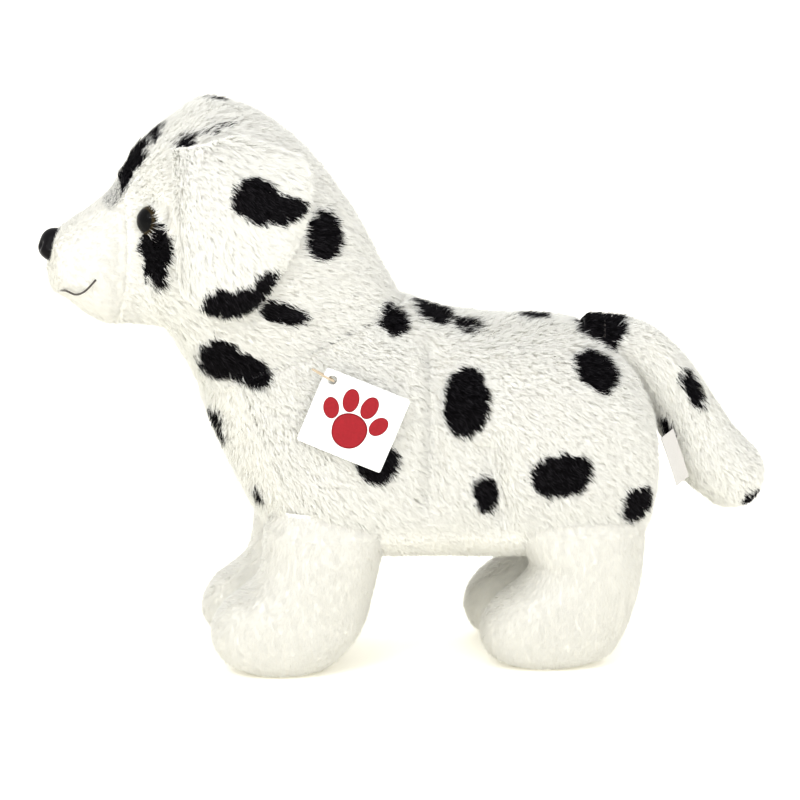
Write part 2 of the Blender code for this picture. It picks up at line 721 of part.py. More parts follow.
def thread_tube(name, line, radius, slot, sides=6, parent=None, ring=False):
    """A round thread along a line of points; a ring is closed on itself."""
    line = np.asarray(line, float)
    if ring:
        run = np.roll(line, -1, axis=0) - np.roll(line, 1, axis=0)
    else:
        run = np.gradient(line, axis=0)
    run /= np.linalg.norm(run, axis=1, keepdims=True)
    guide = np.array([0.31, 0.27, 0.91])
    side = np.cross(run, guide)
    side /= np.linalg.norm(side, axis=1, keepdims=True)
    other = np.cross(run, side)
    angle = np.arange(sides) * 2.0 * math.pi / sides
    rings = line[:, None] + radius * (
        side[:, None] * np.cos(angle)[None, :, None] + other[:, None] * np.sin(angle)[None, :, None]
    )
    if ring:
        rings = np.concatenate([rings, rings[:1]])
        faces = grid_faces(len(rings), sides, wrap=True)
        return new_object(name, rings.reshape(-1, 3), faces, slot, parent)
    return closed_tube(name, rings, slot, parent)


def make_mouth(parent):
    """One stitched line round the muzzle under the nose, higher at its corners."""
    share = np.linspace(-1.0, 1.0, 25)
    angle = math.pi - (math.pi - MOUTH_CORNER) * share
    t = WHOLE_LAST - 1.15 - 0.95 * np.abs(share) ** 2.0
    line = head_grid(t[None], angle[None], 0.5 * THREAD_DIAMETER + GAP)[0]
    thread_tube("mouth_stitch", line, 0.5 * THREAD_DIAMETER, "thread", parent=parent)


# ---------------------------------------------------------------- ears


def head_half_width(x, z):
    """The head's outer half width beside the places x and z, averaged from its nearest points."""
    along, around = np.linspace(0.5, HEAD_LAST + 1.0, 60), np.linspace(0.12, 0.95, 40) * math.pi
    t, a = np.meshgrid(along, around, indexing="ij")
    points = head_grid(t, a, 0.0).reshape(-1, 3)
    away = (x[..., None] - points[:, 0]) ** 2 + (z[..., None] - points[:, 2]) ** 2
    weight = 1.0 / (away + (1.2 * MM) ** 2) ** 3
    return (weight * -points[:, 1]).sum(axis=-1) / weight.sum(axis=-1)


def ear_sheet(across, down):
    """The ear's inner side: it leaves the head at the root and hangs over the widest place."""
    edge = smooth_rows(EAR_EDGE, across * (len(EAR_EDGE) - 1.0))
    front, rear = np.array(EAR_ROOT)
    root = front * (1.0 - across)[:, None] + rear * across[:, None]
    share = down[:, None, None]
    flat = root[None] * (1.0 - share) + edge[None] * share
    x, z = flat[..., 0] * X_SCALE, flat[..., 1] * Z_SCALE
    out = np.maximum.accumulate(head_half_width(x, z), axis=0) + EAR_CLEARANCE
    return x, out, z


def make_ear(name, side, parent):
    across, down = np.linspace(0.0, 1.0, 9), np.linspace(0.03, 1.0, 8)
    x, out, z = ear_sheet(across, down)
    swell = np.sin(math.pi * down)[:, None] ** 0.5 * np.sin(math.pi * across)[None] ** 0.5
    layers = (
        (0.0, EAR_LINING, "lining"),
        (EAR_LINING + GAP, EAR_LINING + GAP + EAR_COVER, "outer"),
    )
    for low, high, part in layers:
        inner = np.stack([x, side * (out + low), z], axis=-1)
        thick = low + (high - low) * (0.55 + 0.45 * swell) if part == "outer" else high
        outer = np.stack([x, side * (out + thick), z], axis=-1)
        slot = "plush_long" if part == "outer" else "plush_short"
        slab(f"{name}_{part}", outer, inner, slot, parent)


def ear_axis(side):
    """Two points of the line that the ear turns about: the inner side of its root."""
    x, out, z = ear_sheet(np.array([0.0, 1.0]), np.array([0.03]))
    return np.stack([x[0], side * out[0], z[0]], axis=-1)


# ---------------------------------------------------------------- tail


def make_tail(parent, base):
    half = 0.5 * GAP / (0.5 * TAIL_DIAMETER)
    thickness = BODY_COVER
    for name, angle in (
        ("tail_left_panel", np.linspace(half, math.pi - half, 8)),
        ("tail_right_panel", np.linspace(math.pi + half, 2.0 * math.pi - half, 8)),
    ):
        outer = tail_grid(8, angle, 0.0)
        inner = tail_grid(8, angle, -thickness)
        # The two halves meet in a seam over the tip, a gap apart.
        apart = GAP * (0.5 if "right" in name else -0.5)
        for grid in (outer, inner):
            grid[..., 1] += apart
        slab(name, outer, inner, "plush_long", parent, pole=True)
    angle = np.arange(12) * 2.0 * math.pi / 12
    closed_tube("tail_stuffing", tail_grid(8, angle, -thickness - STUFFING_ROOM), "stuffing", parent)
    centre, radius, run, up = tail_frame(np.array([0.0]))
    turn = np.arange(24) * 2.0 * math.pi / 24
    reach = radius[0] - 2.5 * MM
    line = centre[0] - run[0] * (0.5 * THREAD_DIAMETER + GAP)
    across = np.array([0.0, 1.0, 0.0])
    line = line + reach * (up[0] * np.cos(turn)[:, None] + across * np.sin(turn)[:, None])
    thread_tube("tail_root_stitching", line, 0.5 * THREAD_DIAMETER, "thread", parent=base, ring=True)


# ---------------------------------------------------------------- tag and label


def tag_frame():
    """The tag's top corner at its fold, and its directions along the top, down the fold and out."""
    spot = np.array([-37.3 * X_SCALE, 0.0, 129.3 * Z_SCALE])
    along = np.array([math.cos(TAG_TILT), 0.0, -math.sin(TAG_TILT)])
    down = np.array([-math.sin(TAG_TILT), 0.0, -math.cos(TAG_TILT)])
    out = np.array([0.0, LEFT, 0.0])
    reach = 0.5 * TORSO_WIDTH + TAG_STANDOFF
    spot = spot + out * reach
    return spot, along, down, out


def plate_with_hole(name, corner, along, down, out, lift, parent, card):
    """A card leaf with its hole near the fold: a ring of quads between the hole and the edge."""
    steps = 16
    angle = (np.arange(steps) + 0.5) * 2.0 * math.pi / steps
    hole = np.stack([np.cos(angle), np.sin(angle)], axis=-1) * 0.5 * TAG_HOLE + TAG_HOLE_INSET
    width = TAG_WIDTH
    edge = []
    for c, s in zip(np.cos(angle), np.sin(angle)):
        room_x = (width - TAG_HOLE_INSET) if c > 0 else TAG_HOLE_INSET
        room_y = (TAG_HOLE_INSET) if s < 0 else (TAG_HEIGHT - TAG_HOLE_INSET)
        reach = min(room_x / max(abs(c), 1e-9), room_y / max(abs(s), 1e-9))
        edge.append((TAG_HOLE_INSET + reach * c, TAG_HOLE_INSET + reach * s))
    corners = ((0.0, 0.0), (width, 0.0), (width, TAG_HEIGHT), (0.0, TAG_HEIGHT))
    rim = []
    for index, point in enumerate(edge):
        rim.append(point)
        following = edge[(index + 1) % steps]
        for spot in corners:
            a = math.atan2(point[1] - TAG_HOLE_INSET, point[0] - TAG_HOLE_INSET)
            b = math.atan2(following[1] - TAG_HOLE_INSET, following[0] - TAG_HOLE_INSET)
            c = math.atan2(spot[1] - TAG_HOLE_INSET, spot[0] - TAG_HOLE_INSET)
            span = (b - a) % (2.0 * math.pi)
            if 1e-6 < (c - a) % (2.0 * math.pi) < span - 1e-6:
                rim.append(spot)
    inner = []
    for point in rim:
        a = math.atan2(point[1] - TAG_HOLE_INSET, point[0] - TAG_HOLE_INSET)
        x, y = 0.5 * TAG_HOLE * math.cos(a), 0.5 * TAG_HOLE * math.sin(a)
        inner.append((TAG_HOLE_INSET + x, TAG_HOLE_INSET + y))
    flat = np.array([rim, inner])
    low = corner + flat[..., :1] * along + flat[..., 1:] * down + out * lift
    high = low + out * card
    return slab(name, low, high, "card", parent, wrap=True)


def make_tag(tag, leaf):
    corner, along, down, out = tag_frame()
    plate_with_hole("tag_back_leaf", corner, along, down, out, 0.0, tag, TAG_CARD)
    opened = along * math.cos(TAG_OPENING) + out * math.sin(TAG_OPENING)
    lifted = out * math.cos(TAG_OPENING) - along * math.sin(TAG_OPENING)
    plate_with_hole("tag_front_leaf", corner, opened, down, lifted, TAG_CARD + GAP, leaf, TAG_CARD)
    hole = corner + (along + down) * TAG_HOLE_INSET
    radius = 0.5 * THREAD_DIAMETER
    front = out * (2.0 * TAG_CARD + 3.0 * GAP + radius + 0.5 * MM)
    back = out * -(radius + 2.0 * GAP)
    anchor = tag_anchor()
    middle = 0.5 * (hole + anchor)
    route = np.array(
        [
            anchor + out * 0.2 * MM,
            middle + front,
            hole + front,
            hole + 0.3 * front + 0.3 * back,
            hole + back,
            middle + 0.8 * back,
        ]
    )
    line = smooth_rows(np.concatenate([route, route[:1], route[1:2]]), np.linspace(0.0, 6.0, 31)[:-1])
    thread_tube("tag_thread", line, radius, "thread", parent=tag, ring=True)


def tag_anchor():
    """Where the thread leaves the shoulder, up and forward of the tag's corner."""
    corner, along, down, out = tag_frame()
    return corner + (along + down) * TAG_HOLE_INSET - along * 9.0 * MM - down * 1.0 * MM + out * 0.5 * MM


def label_frame():
    """The label's sewn edge on the rump beside the tail, its way down and its way across."""
    beside = 0.5 * TAIL_DIAMETER * TAIL_WAG_ROOM + 1.0 * MM
    place = np.array([101.1 * X_SCALE, LEFT * beside, 92.5 * Z_SCALE])
    down = np.array([0.32, 0.0, -0.947])
    turn = LABEL_TURN
    across = np.array([0.947 * math.cos(turn), math.sin(turn), 0.32 * math.cos(turn)])
    return place, down, across


def make_label(parent):
    place, down, across = label_frame()
    share = np.linspace(0.0, 1.0, 6)
    sag = np.stack([0.0 * share, LEFT * 1.2 * MM * np.sin(math.pi * share), 0.0 * share], axis=-1)
    edge = place + down * (share * LABEL_LENGTH)[:, None] + sag
    sheet = np.stack([edge, edge + across * LABEL_WIDTH], axis=1)
    thick = np.array([0.0, LEFT * LABEL_THICKNESS, 0.0])
    slab("care_label", sheet + thick, sheet, "ribbon", parent)


# ---------------------------------------------------------------- assembly


def main():
    clear_scene()
    torso_outside = torso_cutter()
    tail_hollow = tail_cutter()
    make_torso(tail_hollow)
    for name, outline, side in (
        ("front_left", FRONT_LEG, LEFT),
        ("front_right", FRONT_LEG, RIGHT),
        ("hind_left", HIND_LEG, LEFT),
        ("hind_right", HIND_LEG, RIGHT),
    ):
        make_leg(name, outline, side, torso_outside)

    neck = joint_empty("neck_joint", NECK_CENTRE)
    pockets = list(nose_pocket())
    eyes = []
    for name, side in (("left_eye", LEFT), ("right_eye", RIGHT)):
        angle = EYE_ANGLE if side == LEFT else 2.0 * math.pi - EYE_ANGLE
        place, axis = head_point(HEAD_LAST + EYE_SECTION, angle)
        place = place - axis * EYE_SEAT
        eyes.append((name, place, axis))
        pockets.append(pocket_cutter(name + "_cutter", place, axis, EYE_DIAMETER))
    make_head(neck, pockets)
    for name, place, axis in eyes:
        make_eye(name, place, axis, neck)
    make_nose(neck)
    make_mouth(neck)
    for name, side in (("left_ear", LEFT), ("right_ear", RIGHT)):
        make_ear(name, side, joint_empty(name + "_joint", ear_axis(side).mean(axis=0), neck))

    centre, radius, run, up = tail_frame(np.array([0.0]))
    tail_base = joint_empty("tail_wag_joint", centre[0])
    make_tail(joint_empty("tail_lift_joint", centre[0] + radius[0] * up[0], tail_base), tail_base)

    tag = joint_empty("tag_swing_joint", tag_anchor())
    corner, along, down, out = tag_frame()
    make_tag(tag, joint_empty("tag_fold_joint", corner + out * TAG_CARD, tag))
    place, down, across = label_frame()
    make_label(joint_empty("label_joint", place))


main()
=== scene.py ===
"""Dresses a plush dog: sewn covers with their pile, safety eyes and nose, stitching, tag and label.

Metres, +Z up. The dog faces -X and its left side faces -Y. Outlines are in millimetres on a dog
as long and as tall as the frame's, and are stretched to the frame's own box.
"""

import math

import bmesh
import bpy
import numpy as np
from bpy.props import FloatProperty, FloatVectorProperty, IntProperty, PointerProperty
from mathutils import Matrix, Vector


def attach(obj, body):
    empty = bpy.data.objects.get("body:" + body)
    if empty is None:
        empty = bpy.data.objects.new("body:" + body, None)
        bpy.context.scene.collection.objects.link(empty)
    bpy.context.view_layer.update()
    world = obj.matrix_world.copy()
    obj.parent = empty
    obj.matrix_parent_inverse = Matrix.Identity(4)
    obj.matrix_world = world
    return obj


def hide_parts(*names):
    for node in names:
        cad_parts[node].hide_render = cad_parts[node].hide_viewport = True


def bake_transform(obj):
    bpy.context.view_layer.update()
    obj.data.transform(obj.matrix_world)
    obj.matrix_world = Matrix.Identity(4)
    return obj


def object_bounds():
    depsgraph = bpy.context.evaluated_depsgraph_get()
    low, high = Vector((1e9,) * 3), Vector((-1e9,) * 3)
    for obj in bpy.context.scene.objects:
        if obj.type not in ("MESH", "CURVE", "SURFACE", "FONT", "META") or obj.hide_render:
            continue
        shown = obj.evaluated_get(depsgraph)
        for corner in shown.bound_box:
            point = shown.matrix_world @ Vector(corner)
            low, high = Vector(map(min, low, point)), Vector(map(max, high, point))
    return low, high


bl_info = {
    "name": "Plush Dog",
    "version": (1, 0, 0),
    "blender": (4, 5, 0),
    "location": "3D Viewport > Sidebar > Plush Dog",
    "description": "Covers, pile, eyes, nose, stitching, tag, label and stage of a standing plush dog",
    "category": "Object",
}

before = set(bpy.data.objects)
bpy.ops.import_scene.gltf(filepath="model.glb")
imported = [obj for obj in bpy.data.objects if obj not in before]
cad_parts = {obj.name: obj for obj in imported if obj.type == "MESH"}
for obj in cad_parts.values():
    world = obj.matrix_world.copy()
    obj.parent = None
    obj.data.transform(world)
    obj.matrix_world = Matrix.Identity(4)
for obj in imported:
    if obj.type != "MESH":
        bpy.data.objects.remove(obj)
CAD_LOW, CAD_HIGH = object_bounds()

MM = 0.001
PI = math.pi
LEFT = -1.0
RIGHT = 1.0
X_SCALE = (CAD_HIGH.x - CAD_LOW.x) / 300.01
Z_SCALE = (CAD_HIGH.z - CAD_LOW.z) / 232.56

TORSO_WIDTH = 93.0 * MM
HEAD_WIDTH = 90.0 * MM
MUZZLE_WIDTH = 51.0 * MM
LEG_WIDTH = 43.0 * MM
LEG_SPACING = 49.0 * MM
TAIL_DIAMETER = 34.0 * MM

# Cross-sections along the body from the rump to the neck: top X and Z, bottom X and Z, share of
# the width, and how square the lower half is.
TORSO_SECTIONS = (
    (102.5, 86.0, 102.5, 84.0, 0.00, 2.2),
    (101.4, 101.0, 101.8, 68.0, 0.52, 2.4),
    (97.5, 112.5, 99.5, 56.5, 0.73, 2.6),
    (90.0, 126.0, 95.0, 49.0, 0.86, 2.9),
    (78.0, 136.5, 86.0, 45.0, 0.95, 3.2),
    (60.0, 141.7, 66.0, 43.0, 1.00, 3.4),
    (38.0, 142.6, 40.0, 42.0, 0.99, 3.0),
    (20.0, 144.6, 16.0, 41.5, 0.94, 2.6),
    (9.0, 147.6, -12.0, 43.0, 0.97, 3.0),
    (4.0, 149.6, -40.0, 47.0, 1.00, 3.3),
    (1.0, 150.6, -62.0, 61.0, 0.98, 3.0),
    (-0.6, 151.2, -76.5, 86.0, 0.92, 2.6),
    (-2.0, 151.5, -87.0, 112.5, 0.82, 2.2),
)
HEAD_SECTIONS = (
    (-2.0, 151.5, -87.0, 112.5, 0.847, 2.2),
    (-9.5, 165.0, -88.0, 115.5, 0.88, 2.2),
    (-20.0, 185.0, -89.5, 118.5, 0.93, 2.2),
    (-35.0, 206.0, -91.0, 122.0, 0.97, 2.2),
    (-50.0, 220.5, -93.0, 125.5, 1.00, 2.2),
    (-66.0, 229.8, -95.5, 129.5, 1.00, 2.2),
    (-82.6, 233.0, -98.0, 133.5, 0.98, 2.3),
    (-94.5, 226.8, -101.0, 137.0, 0.94, 2.3),
    (-103.5, 220.2, -105.0, 138.3, 0.86, 2.3),
    (-111.0, 213.6, -109.5, 138.7, 0.70, 2.3),
)
MUZZLE_SECTIONS = (
    (-111.0, 213.6, -109.5, 138.7, 1.235, 2.3),
    (-115.2, 207.0, -114.5, 138.9, 1.06, 2.3),
    (-117.8, 201.0, -119.5, 139.3, 1.00, 2.3),
    (-120.8, 195.6, -124.8, 140.4, 1.00, 2.3),
    (-129.0, 188.6, -131.5, 144.2, 0.95, 2.3),
    (-137.2, 183.2, -138.8, 150.0, 0.80, 2.2),
    (-143.8, 177.0, -144.8, 154.6, 0.56, 2.1),
    (-147.4, 165.0, -147.4, 164.0, 0.00, 2.0),
)

# A leg from the sole up: height, front, back, share of the leg's width.
FRONT_LEG = (
    (0.0, -70.5, -36.0, 0.68),
    (2.5, -75.5, -32.2, 0.80),
    (6.0, -79.8, -28.5, 0.90),
    (12.0, -83.2, -23.2, 0.98),
    (18.0, -83.6, -19.6, 1.00),
    (24.0, -81.4, -17.4, 1.00),
    (29.5, -77.0, -16.0, 1.00),
    (34.5, -70.0, -14.8, 1.00),
    (40.0, -64.6, -13.6, 1.00),
    (48.0, -62.4, -12.0, 1.00),
    (58.0, -61.6, -10.2, 0.97),
    (68.0, -60.8, -9.5, 0.88),
)
HIND_LEG = (
    (0.0, 37.0, 75.0, 0.68),
    (2.5, 32.0, 80.5, 0.80),
    (6.0, 28.6, 84.0, 0.90),
    (13.0, 26.4, 88.0, 0.98),
    (21.0, 28.2, 91.0, 1.00),
    (28.0, 33.6, 93.0, 1.00),
    (35.0, 42.6, 94.4, 1.00),
    (41.0, 46.6, 95.2, 1.00),
    (47.0, 43.8, 95.8, 1.00),
    (56.0, 38.0, 96.0, 0.97),
    (66.0, 36.5, 94.5, 0.88),
)
LEGS = (
    ("front_left", FRONT_LEG, LEFT),
    ("front_right", FRONT_LEG, RIGHT),
    ("hind_left", HIND_LEG, LEFT),
    ("hind_right", HIND_LEG, RIGHT),
)

# The tail's centre line: X, Z and share of the tail's diameter.
TAIL_LINE = (
    (80.5, 128.5, 0.75),
    (92.0, 126.5, 0.79),
    (102.5, 118.5, 0.82),
    (111.0, 107.0, 0.86),
    (118.0, 94.5, 0.93),
    (125.5, 82.0, 1.00),
    (135.1, 72.0, 0.93),
)
EAR_ROOT = ((-97.0, 214.5), (-73.0, 219.5))
EAR_EDGE = (
    (-97.0, 163.5),
    (-91.0, 155.8),
    (-83.0, 150.6),
    (-73.0, 149.6),
    (-63.8, 155.0),
    (-57.0, 164.5),
    (-50.5, 175.0),
    (-45.5, 186.0),
    (-43.2, 197.0),
    (-45.0, 207.5),
    (-52.5, 214.5),
)
BELLY_SEAM = 0.72 * PI
GUSSET_SEAM = 0.15 * PI
MUZZLE_SEAM_BACK = 0.9
EYE_ANGLE = 0.42 * PI
EYE_SECTION = -0.3

# The mouth from the chin's middle to its corner: sections behind the muzzle's tip, share of half a turn.
MOUTH_LINE = (
    (1.15, 1.0),
    (1.35, 0.86),
    (1.89, 0.72),
    (2.44, 0.69),
    (2.79, 0.651),
    (3.14, 0.602),
    (3.42, 0.563),
)

# Dyed spots: X, Y and Z of the centre, half length, half height, half depth across the dog, and
# the tilt of the length below the horizontal towards the tail, in degrees.
BODY_SPOTS = (
    (-77.5, -28.0, 128.5, 8.8, 9.0, 24.0, 0.0),
    (-66.0, -36.0, 124.2, 8.6, 6.4, 20.0, 30.0),
    (-68.5, -40.0, 128.5, 4.5, 4.5, 20.0, 0.0),
    (-78.5, -11.0, 98.0, 6.0, 7.6, 8.0, 0.0),
    (-62.5, -22.0, 72.0, 2.4, 4.0, 5.0, 0.0),
    (-6.6, -32.0, 144.0, 6.2, 6.2, 16.0, 0.0),
    (11.8, -10.0, 146.0, 8.0, 6.0, 13.0, 10.0),
    (23.8, -22.0, 142.2, 7.2, 4.6, 12.0, 16.0),
    (53.4, -1.0, 141.8, 6.4, 5.0, 7.0, 0.0),
    (-15.4, -46.0, 88.0, 8.6, 8.4, 20.0, 20.0),
    (20.3, -46.0, 111.4, 9.9, 13.8, 20.0, 6.0),
    (74.6, -30.0, 122.0, 9.8, 6.9, 20.0, 34.0),
    (58.0, -44.0, 81.6, 12.6, 9.4, 20.0, -6.0),
    (28.4, -45.0, 73.4, 4.8, 8.0, 20.0, -12.0),
    (90.4, -30.0, 67.8, 8.4, 6.2, 20.0, -46.0),
    (99.5, -14.0, 87.2, 4.0, 6.0, 7.0, 0.0),
    (80.0, -4.0, 134.5, 10.5, 9.0, 15.0, 20.0),
    (-34.3, -42.0, 179.4, 8.2, 10.6, 20.0, 10.0),
    (-53.2, -42.0, 149.0, 10.4, 4.4, 18.0, 17.0),
    (-118.0, -8.0, 199.0, 10.5, 7.4, 9.0, -80.0),
    (-113.0, -8.0, 212.0, 10.5, 7.0, 12.5, -58.0),
    (-104.0, -8.0, 222.0, 9.0, 5.0, 14.0, -42.0),
    (-91.8, -38.0, 218.4, 5.0, 3.5, 14.0, -12.0),
    (-79.0, -34.0, 222.0, 6.0, 0.5, 14.0, -12.0),
    (-75.0, 0.0, 233.5, 4.6, 4.0, 5.0, 0.0),
    (-102.6, -36.0, 175.2, 7.9, 6.3, 18.0, 84.0),
    (-103.2, -36.0, 168.0, 10.6, 4.3, 18.0, 84.0),
    (-103.6, -36.0, 182.4, 3.6, 2.0, 18.0, 70.0),
    (-70.0, 36.0, 118.0, 9.0, 11.0, 22.0, 20.0),
    (-32.0, 46.0, 92.0, 10.0, 8.0, 20.0, -20.0),
    (-20.0, 34.0, 142.0, 8.0, 6.0, 16.0, 10.0),
    (8.0, 46.0, 108.0, 8.0, 12.0, 20.0, -12.0),
    (34.0, 44.0, 132.0, 9.0, 6.0, 16.0, 20.0),
    (38.0, 46.0, 84.0, 7.0, 9.0, 20.0, 0.0),
    (66.0, 42.0, 106.0, 11.0, 8.0, 20.0, 30.0),
    (84.0, 34.0, 76.0, 7.5, 9.0, 18.0, 0.0),
    (-44.0, 34.0, 76.0, 6.0, 4.5, 20.0, 0.0),
    (-62.0, 38.0, 206.0, 8.0, 6.0, 16.0, 0.0),
    (-38.0, 38.0, 178.0, 8.0, 7.0, 16.0, -20.0),
    (-52.0, 40.0, 146.0, 8.0, 6.0, 16.0, 10.0),
    (-100.0, 38.0, 162.0, 6.5, 9.0, 16.0, 10.0),
    (-42.0, 16.0, 212.0, 7.5, 7.0, 11.0, 20.0),
)
LEFT_EAR_SPOTS = (
    (-64.0, -50.0, 195.6, 9.8, 8.8, 20.0, 22.0),
    (-56.6, -50.0, 192.2, 8.6, 6.2, 20.0, 16.0),
    (-50.0, -50.0, 191.0, 7.2, 4.6, 20.0, -4.0),
    (-77.0, -50.0, 153.2, 9.8, 7.0, 20.0, 0.0),
    (-69.0, -50.0, 155.0, 8.4, 6.6, 20.0, -22.0),
    (-61.8, -50.0, 161.6, 7.6, 4.0, 20.0, -50.0),
)
RIGHT_EAR_SPOTS = (
    (-80.0, 50.0, 186.0, 9.0, 7.0, 20.0, 30.0),
    (-57.0, 50.0, 172.0, 8.0, 6.0, 20.0, -40.0),
    (-60.0, 50.0, 206.0, 6.0, 4.5, 20.0, 0.0),
)
TAIL_SPOTS = (
    (80.0, -4.0, 136.5, 11.0, 11.0, 16.0, 20.0),
    (118.2, -15.0, 109.4, 8.4, 3.5, 10.0, 64.0),
    (105.6, -13.0, 91.6, 5.4, 3.4, 9.0, 60.0),
    (144.6, -7.0, 60.5, 5.0, 5.0, 13.0, 0.0),
    (122.0, 12.0, 88.0, 8.0, 6.0, 10.0, 50.0),
    (103.0, 12.0, 112.0, 7.0, 5.0, 8.0, 40.0),
)


# ---------------------------------------------------------------- settings


class PlushPile(bpy.types.PropertyGroup):
    long_pile: FloatProperty(name="Long pile", description="Strand length on body, head, ears and tail",
                             default=5.4 * MM, min=1.0 * MM, unit="LENGTH", precision=4)
    short_pile: FloatProperty(name="Short pile", description="Strand length on muzzle, legs and belly",
                              default=3.0 * MM, min=0.5 * MM, unit="LENGTH", precision=4)
    long_width: FloatProperty(name="Long strand width", description="Width of a strand at its root",
                              default=0.42 * MM, unit="LENGTH", precision=5)
    short_width: FloatProperty(name="Short strand width", description="Width of a strand at its root",
                               default=0.36 * MM, unit="LENGTH", precision=5)
    lean: FloatProperty(name="Lean", description="How far the pile is brushed down from upright",
                        default=math.radians(52.0), subtype="ANGLE")
    tuft: FloatProperty(name="Tuft", description="Distance between tufts of strands",
                        default=2.6 * MM, unit="LENGTH", precision=4)
    long_strands: FloatProperty(name="Long strands", description="Long strands on each square millimetre",
                                default=3.4, min=0.1)
    short_strands: FloatProperty(name="Short strands", description="Short strands on each square millimetre",
                                 default=7.4, min=0.1)
    seed: IntProperty(name="Seed", description="Start of the random placing of strands", default=11)


class PlushDyes(bpy.types.PropertyGroup):
    white: FloatVectorProperty(name="White", description="Undyed pile", subtype="COLOR", size=3,
                               default=(0.965, 0.963, 0.93))
    black: FloatVectorProperty(name="Black", description="Dyed spots", subtype="COLOR", size=3,
                               default=(0.004, 0.0034, 0.0045))
    grey: FloatVectorProperty(name="Frosted tips", description="Tips of the dyed strands", subtype="COLOR",
                              size=3, default=(0.07, 0.066, 0.075))
    iris: FloatVectorProperty(name="Iris", description="Rim of the eye", subtype="COLOR", size=3,
                              default=(0.034, 0.024, 0.009))
    motif: FloatVectorProperty(name="Motif", description="Paw print on the tag", subtype="COLOR", size=3,
                               default=(0.27, 0.012, 0.018))
    thread: FloatVectorProperty(name="Thread", description="Tag's loop", subtype="COLOR", size=3,
                                default=(0.55, 0.44, 0.30))


class PlushStage(bpy.types.PropertyGroup):
    floor: FloatVectorProperty(name="Floor", description="Colour of the floor", subtype="COLOR", size=3,
                               default=(0.95, 0.94, 0.90))
    key: FloatProperty(name="Key light", description="Power of the light above and in front", default=3.8,
                       unit="POWER")
    fill: FloatProperty(name="Fill light", description="Power of the light beside the camera", default=5.0,
                        unit="POWER")
    # Painted light: the floor glows though it is no lamp and nothing backs it, which lifts its shadows and warms the
    # dog's underside.
    glow: FloatProperty(name="Floor glow", description="Light that the backlit floor gives off", default=0.32)
    sky: FloatProperty(name="Room light", description="Strength of the light from all round", default=1.3)
    distance: FloatProperty(name="Camera distance", description="From the camera to the dog's middle",
                            default=1.8, unit="LENGTH")
    azimuth: FloatProperty(name="Camera azimuth", description="Turned from the dog's left side to its tail",
                           default=math.radians(-6.65), subtype="ANGLE")
    elevation: FloatProperty(name="Camera elevation", description="Above the horizon",
                             default=math.radians(10.93), subtype="ANGLE")
    lens: FloatProperty(name="Lens", description="Focal length in millimetres", default=198.1)


# ---------------------------------------------------------------- surfaces


def smooth_rows(rows, t):
    """A Catmull-Rom curve through rows, read at the places t, where row i is at t = i."""
    rows = np.asarray(rows, float)
    last = len(rows) - 1
    t = np.clip(t, 0.0, last)
    i = np.minimum(t.astype(int), last - 1)
    f = (t - i)[..., None]
    before = np.where((i > 0)[..., None], rows[i - 1], 2.0 * rows[0] - rows[1])
    beyond = 2.0 * rows[last] - rows[last - 1]
    after = np.where((i + 2 <= last)[..., None], rows[np.minimum(i + 2, last)], beyond)
    a, b = rows[i], rows[i + 1]
    cubic = 3.0 * (a - b) + after - before
    square = 2.0 * before - 5.0 * a + 4.0 * b - after
    return a + 0.5 * f * (b - before + f * (square + f * cubic))


def loft(sections, width):
    """The surface through cross-sections. At t along them and at the angle a, a point is the
    section's middle, plus half its height times a superellipse's reach times cos a along it,
    and half its width times the reach times sin a to the left."""

    def surface(t, a):
        top_x, top_z, low_x, low_z, share, square = np.moveaxis(smooth_rows(sections, t), -1, 0)
        power = np.where(np.cos(a) > 0.0, 2.1, np.maximum(square, 2.0))
        reach = (np.abs(np.sin(a)) ** power + np.abs(np.cos(a)) ** power) ** (-1.0 / power)
        up = 0.5 * reach * np.cos(a)
        side = 0.5 * width * np.maximum(share, 0.0) * reach * np.sin(a)
        x = 0.5 * (top_x + low_x) + (top_x - low_x) * up
        z = 0.5 * (top_z + low_z) + (top_z - low_z) * up
        return np.stack([x * X_SCALE, -side, z * Z_SCALE], axis=-1)

    return surface


torso = loft(TORSO_SECTIONS, TORSO_WIDTH)
head = loft(HEAD_SECTIONS, HEAD_WIDTH)
muzzle = loft(MUZZLE_SECTIONS, MUZZLE_WIDTH)
TORSO_LAST = len(TORSO_SECTIONS) - 1.0
HEAD_LAST = len(HEAD_SECTIONS) - 1.0
WHOLE_LAST = HEAD_LAST + len(MUZZLE_SECTIONS) - 1.0


def whole_head(t, a):
    """Head and muzzle as one surface: t runs over the head's sections and then the muzzle's."""
    front = np.maximum(t - HEAD_LAST, 0.0)
    return np.where((t > HEAD_LAST)[..., None], muzzle(front, a), head(np.minimum(t, HEAD_LAST), a))


def unit(vectors):
    return vectors / np.maximum(np.linalg.norm(vectors, axis=-1, keepdims=True), 1e-12)


def smoothstep(low, high, value):
    t = np.clip((value - low) / (high - low), 0.0, 1.0)
    return t * t * (3.0 - 2.0 * t)


def grid_normals(points, closed=False):
    """Unit normals of a grid from its steps along rows and columns; with closed, the last
    column lies on the first."""
    along = np.gradient(points, axis=0)
    around = np.gradient(points, axis=1)
    if closed:
        joint = 0.5 * (points[:, 1] - points[:, -2])
        around[:, 0] = joint
        around[:, -1] = joint
    return unit(np.cross(along, around))


def facing_out(points, found):
    """The normals turned to point away from each row's own middle."""
    reach = points - points[:, :-1].mean(axis=1, keepdims=True)
    return found * np.sign(np.median(np.sum(found * reach, axis=-1)))


def from_line(points, start, end):
    """Distance of each point, seen from the side, from the line between two places in
    millimetres, given as X and Z."""
    a = np.array([start[0] * X_SCALE, start[1] * Z_SCALE])
    b = np.array([end[0] * X_SCALE, end[1] * Z_SCALE])
    flat = points[..., (0, 2)]
    share = np.clip(((flat - a) @ (b - a)) / ((b - a) @ (b - a)), 0.0, 1.0)
    return np.linalg.norm(flat - a - share[..., None] * (b - a), axis=-1)


def bell(distance, width):
    return np.exp(-((distance / width) ** 2))


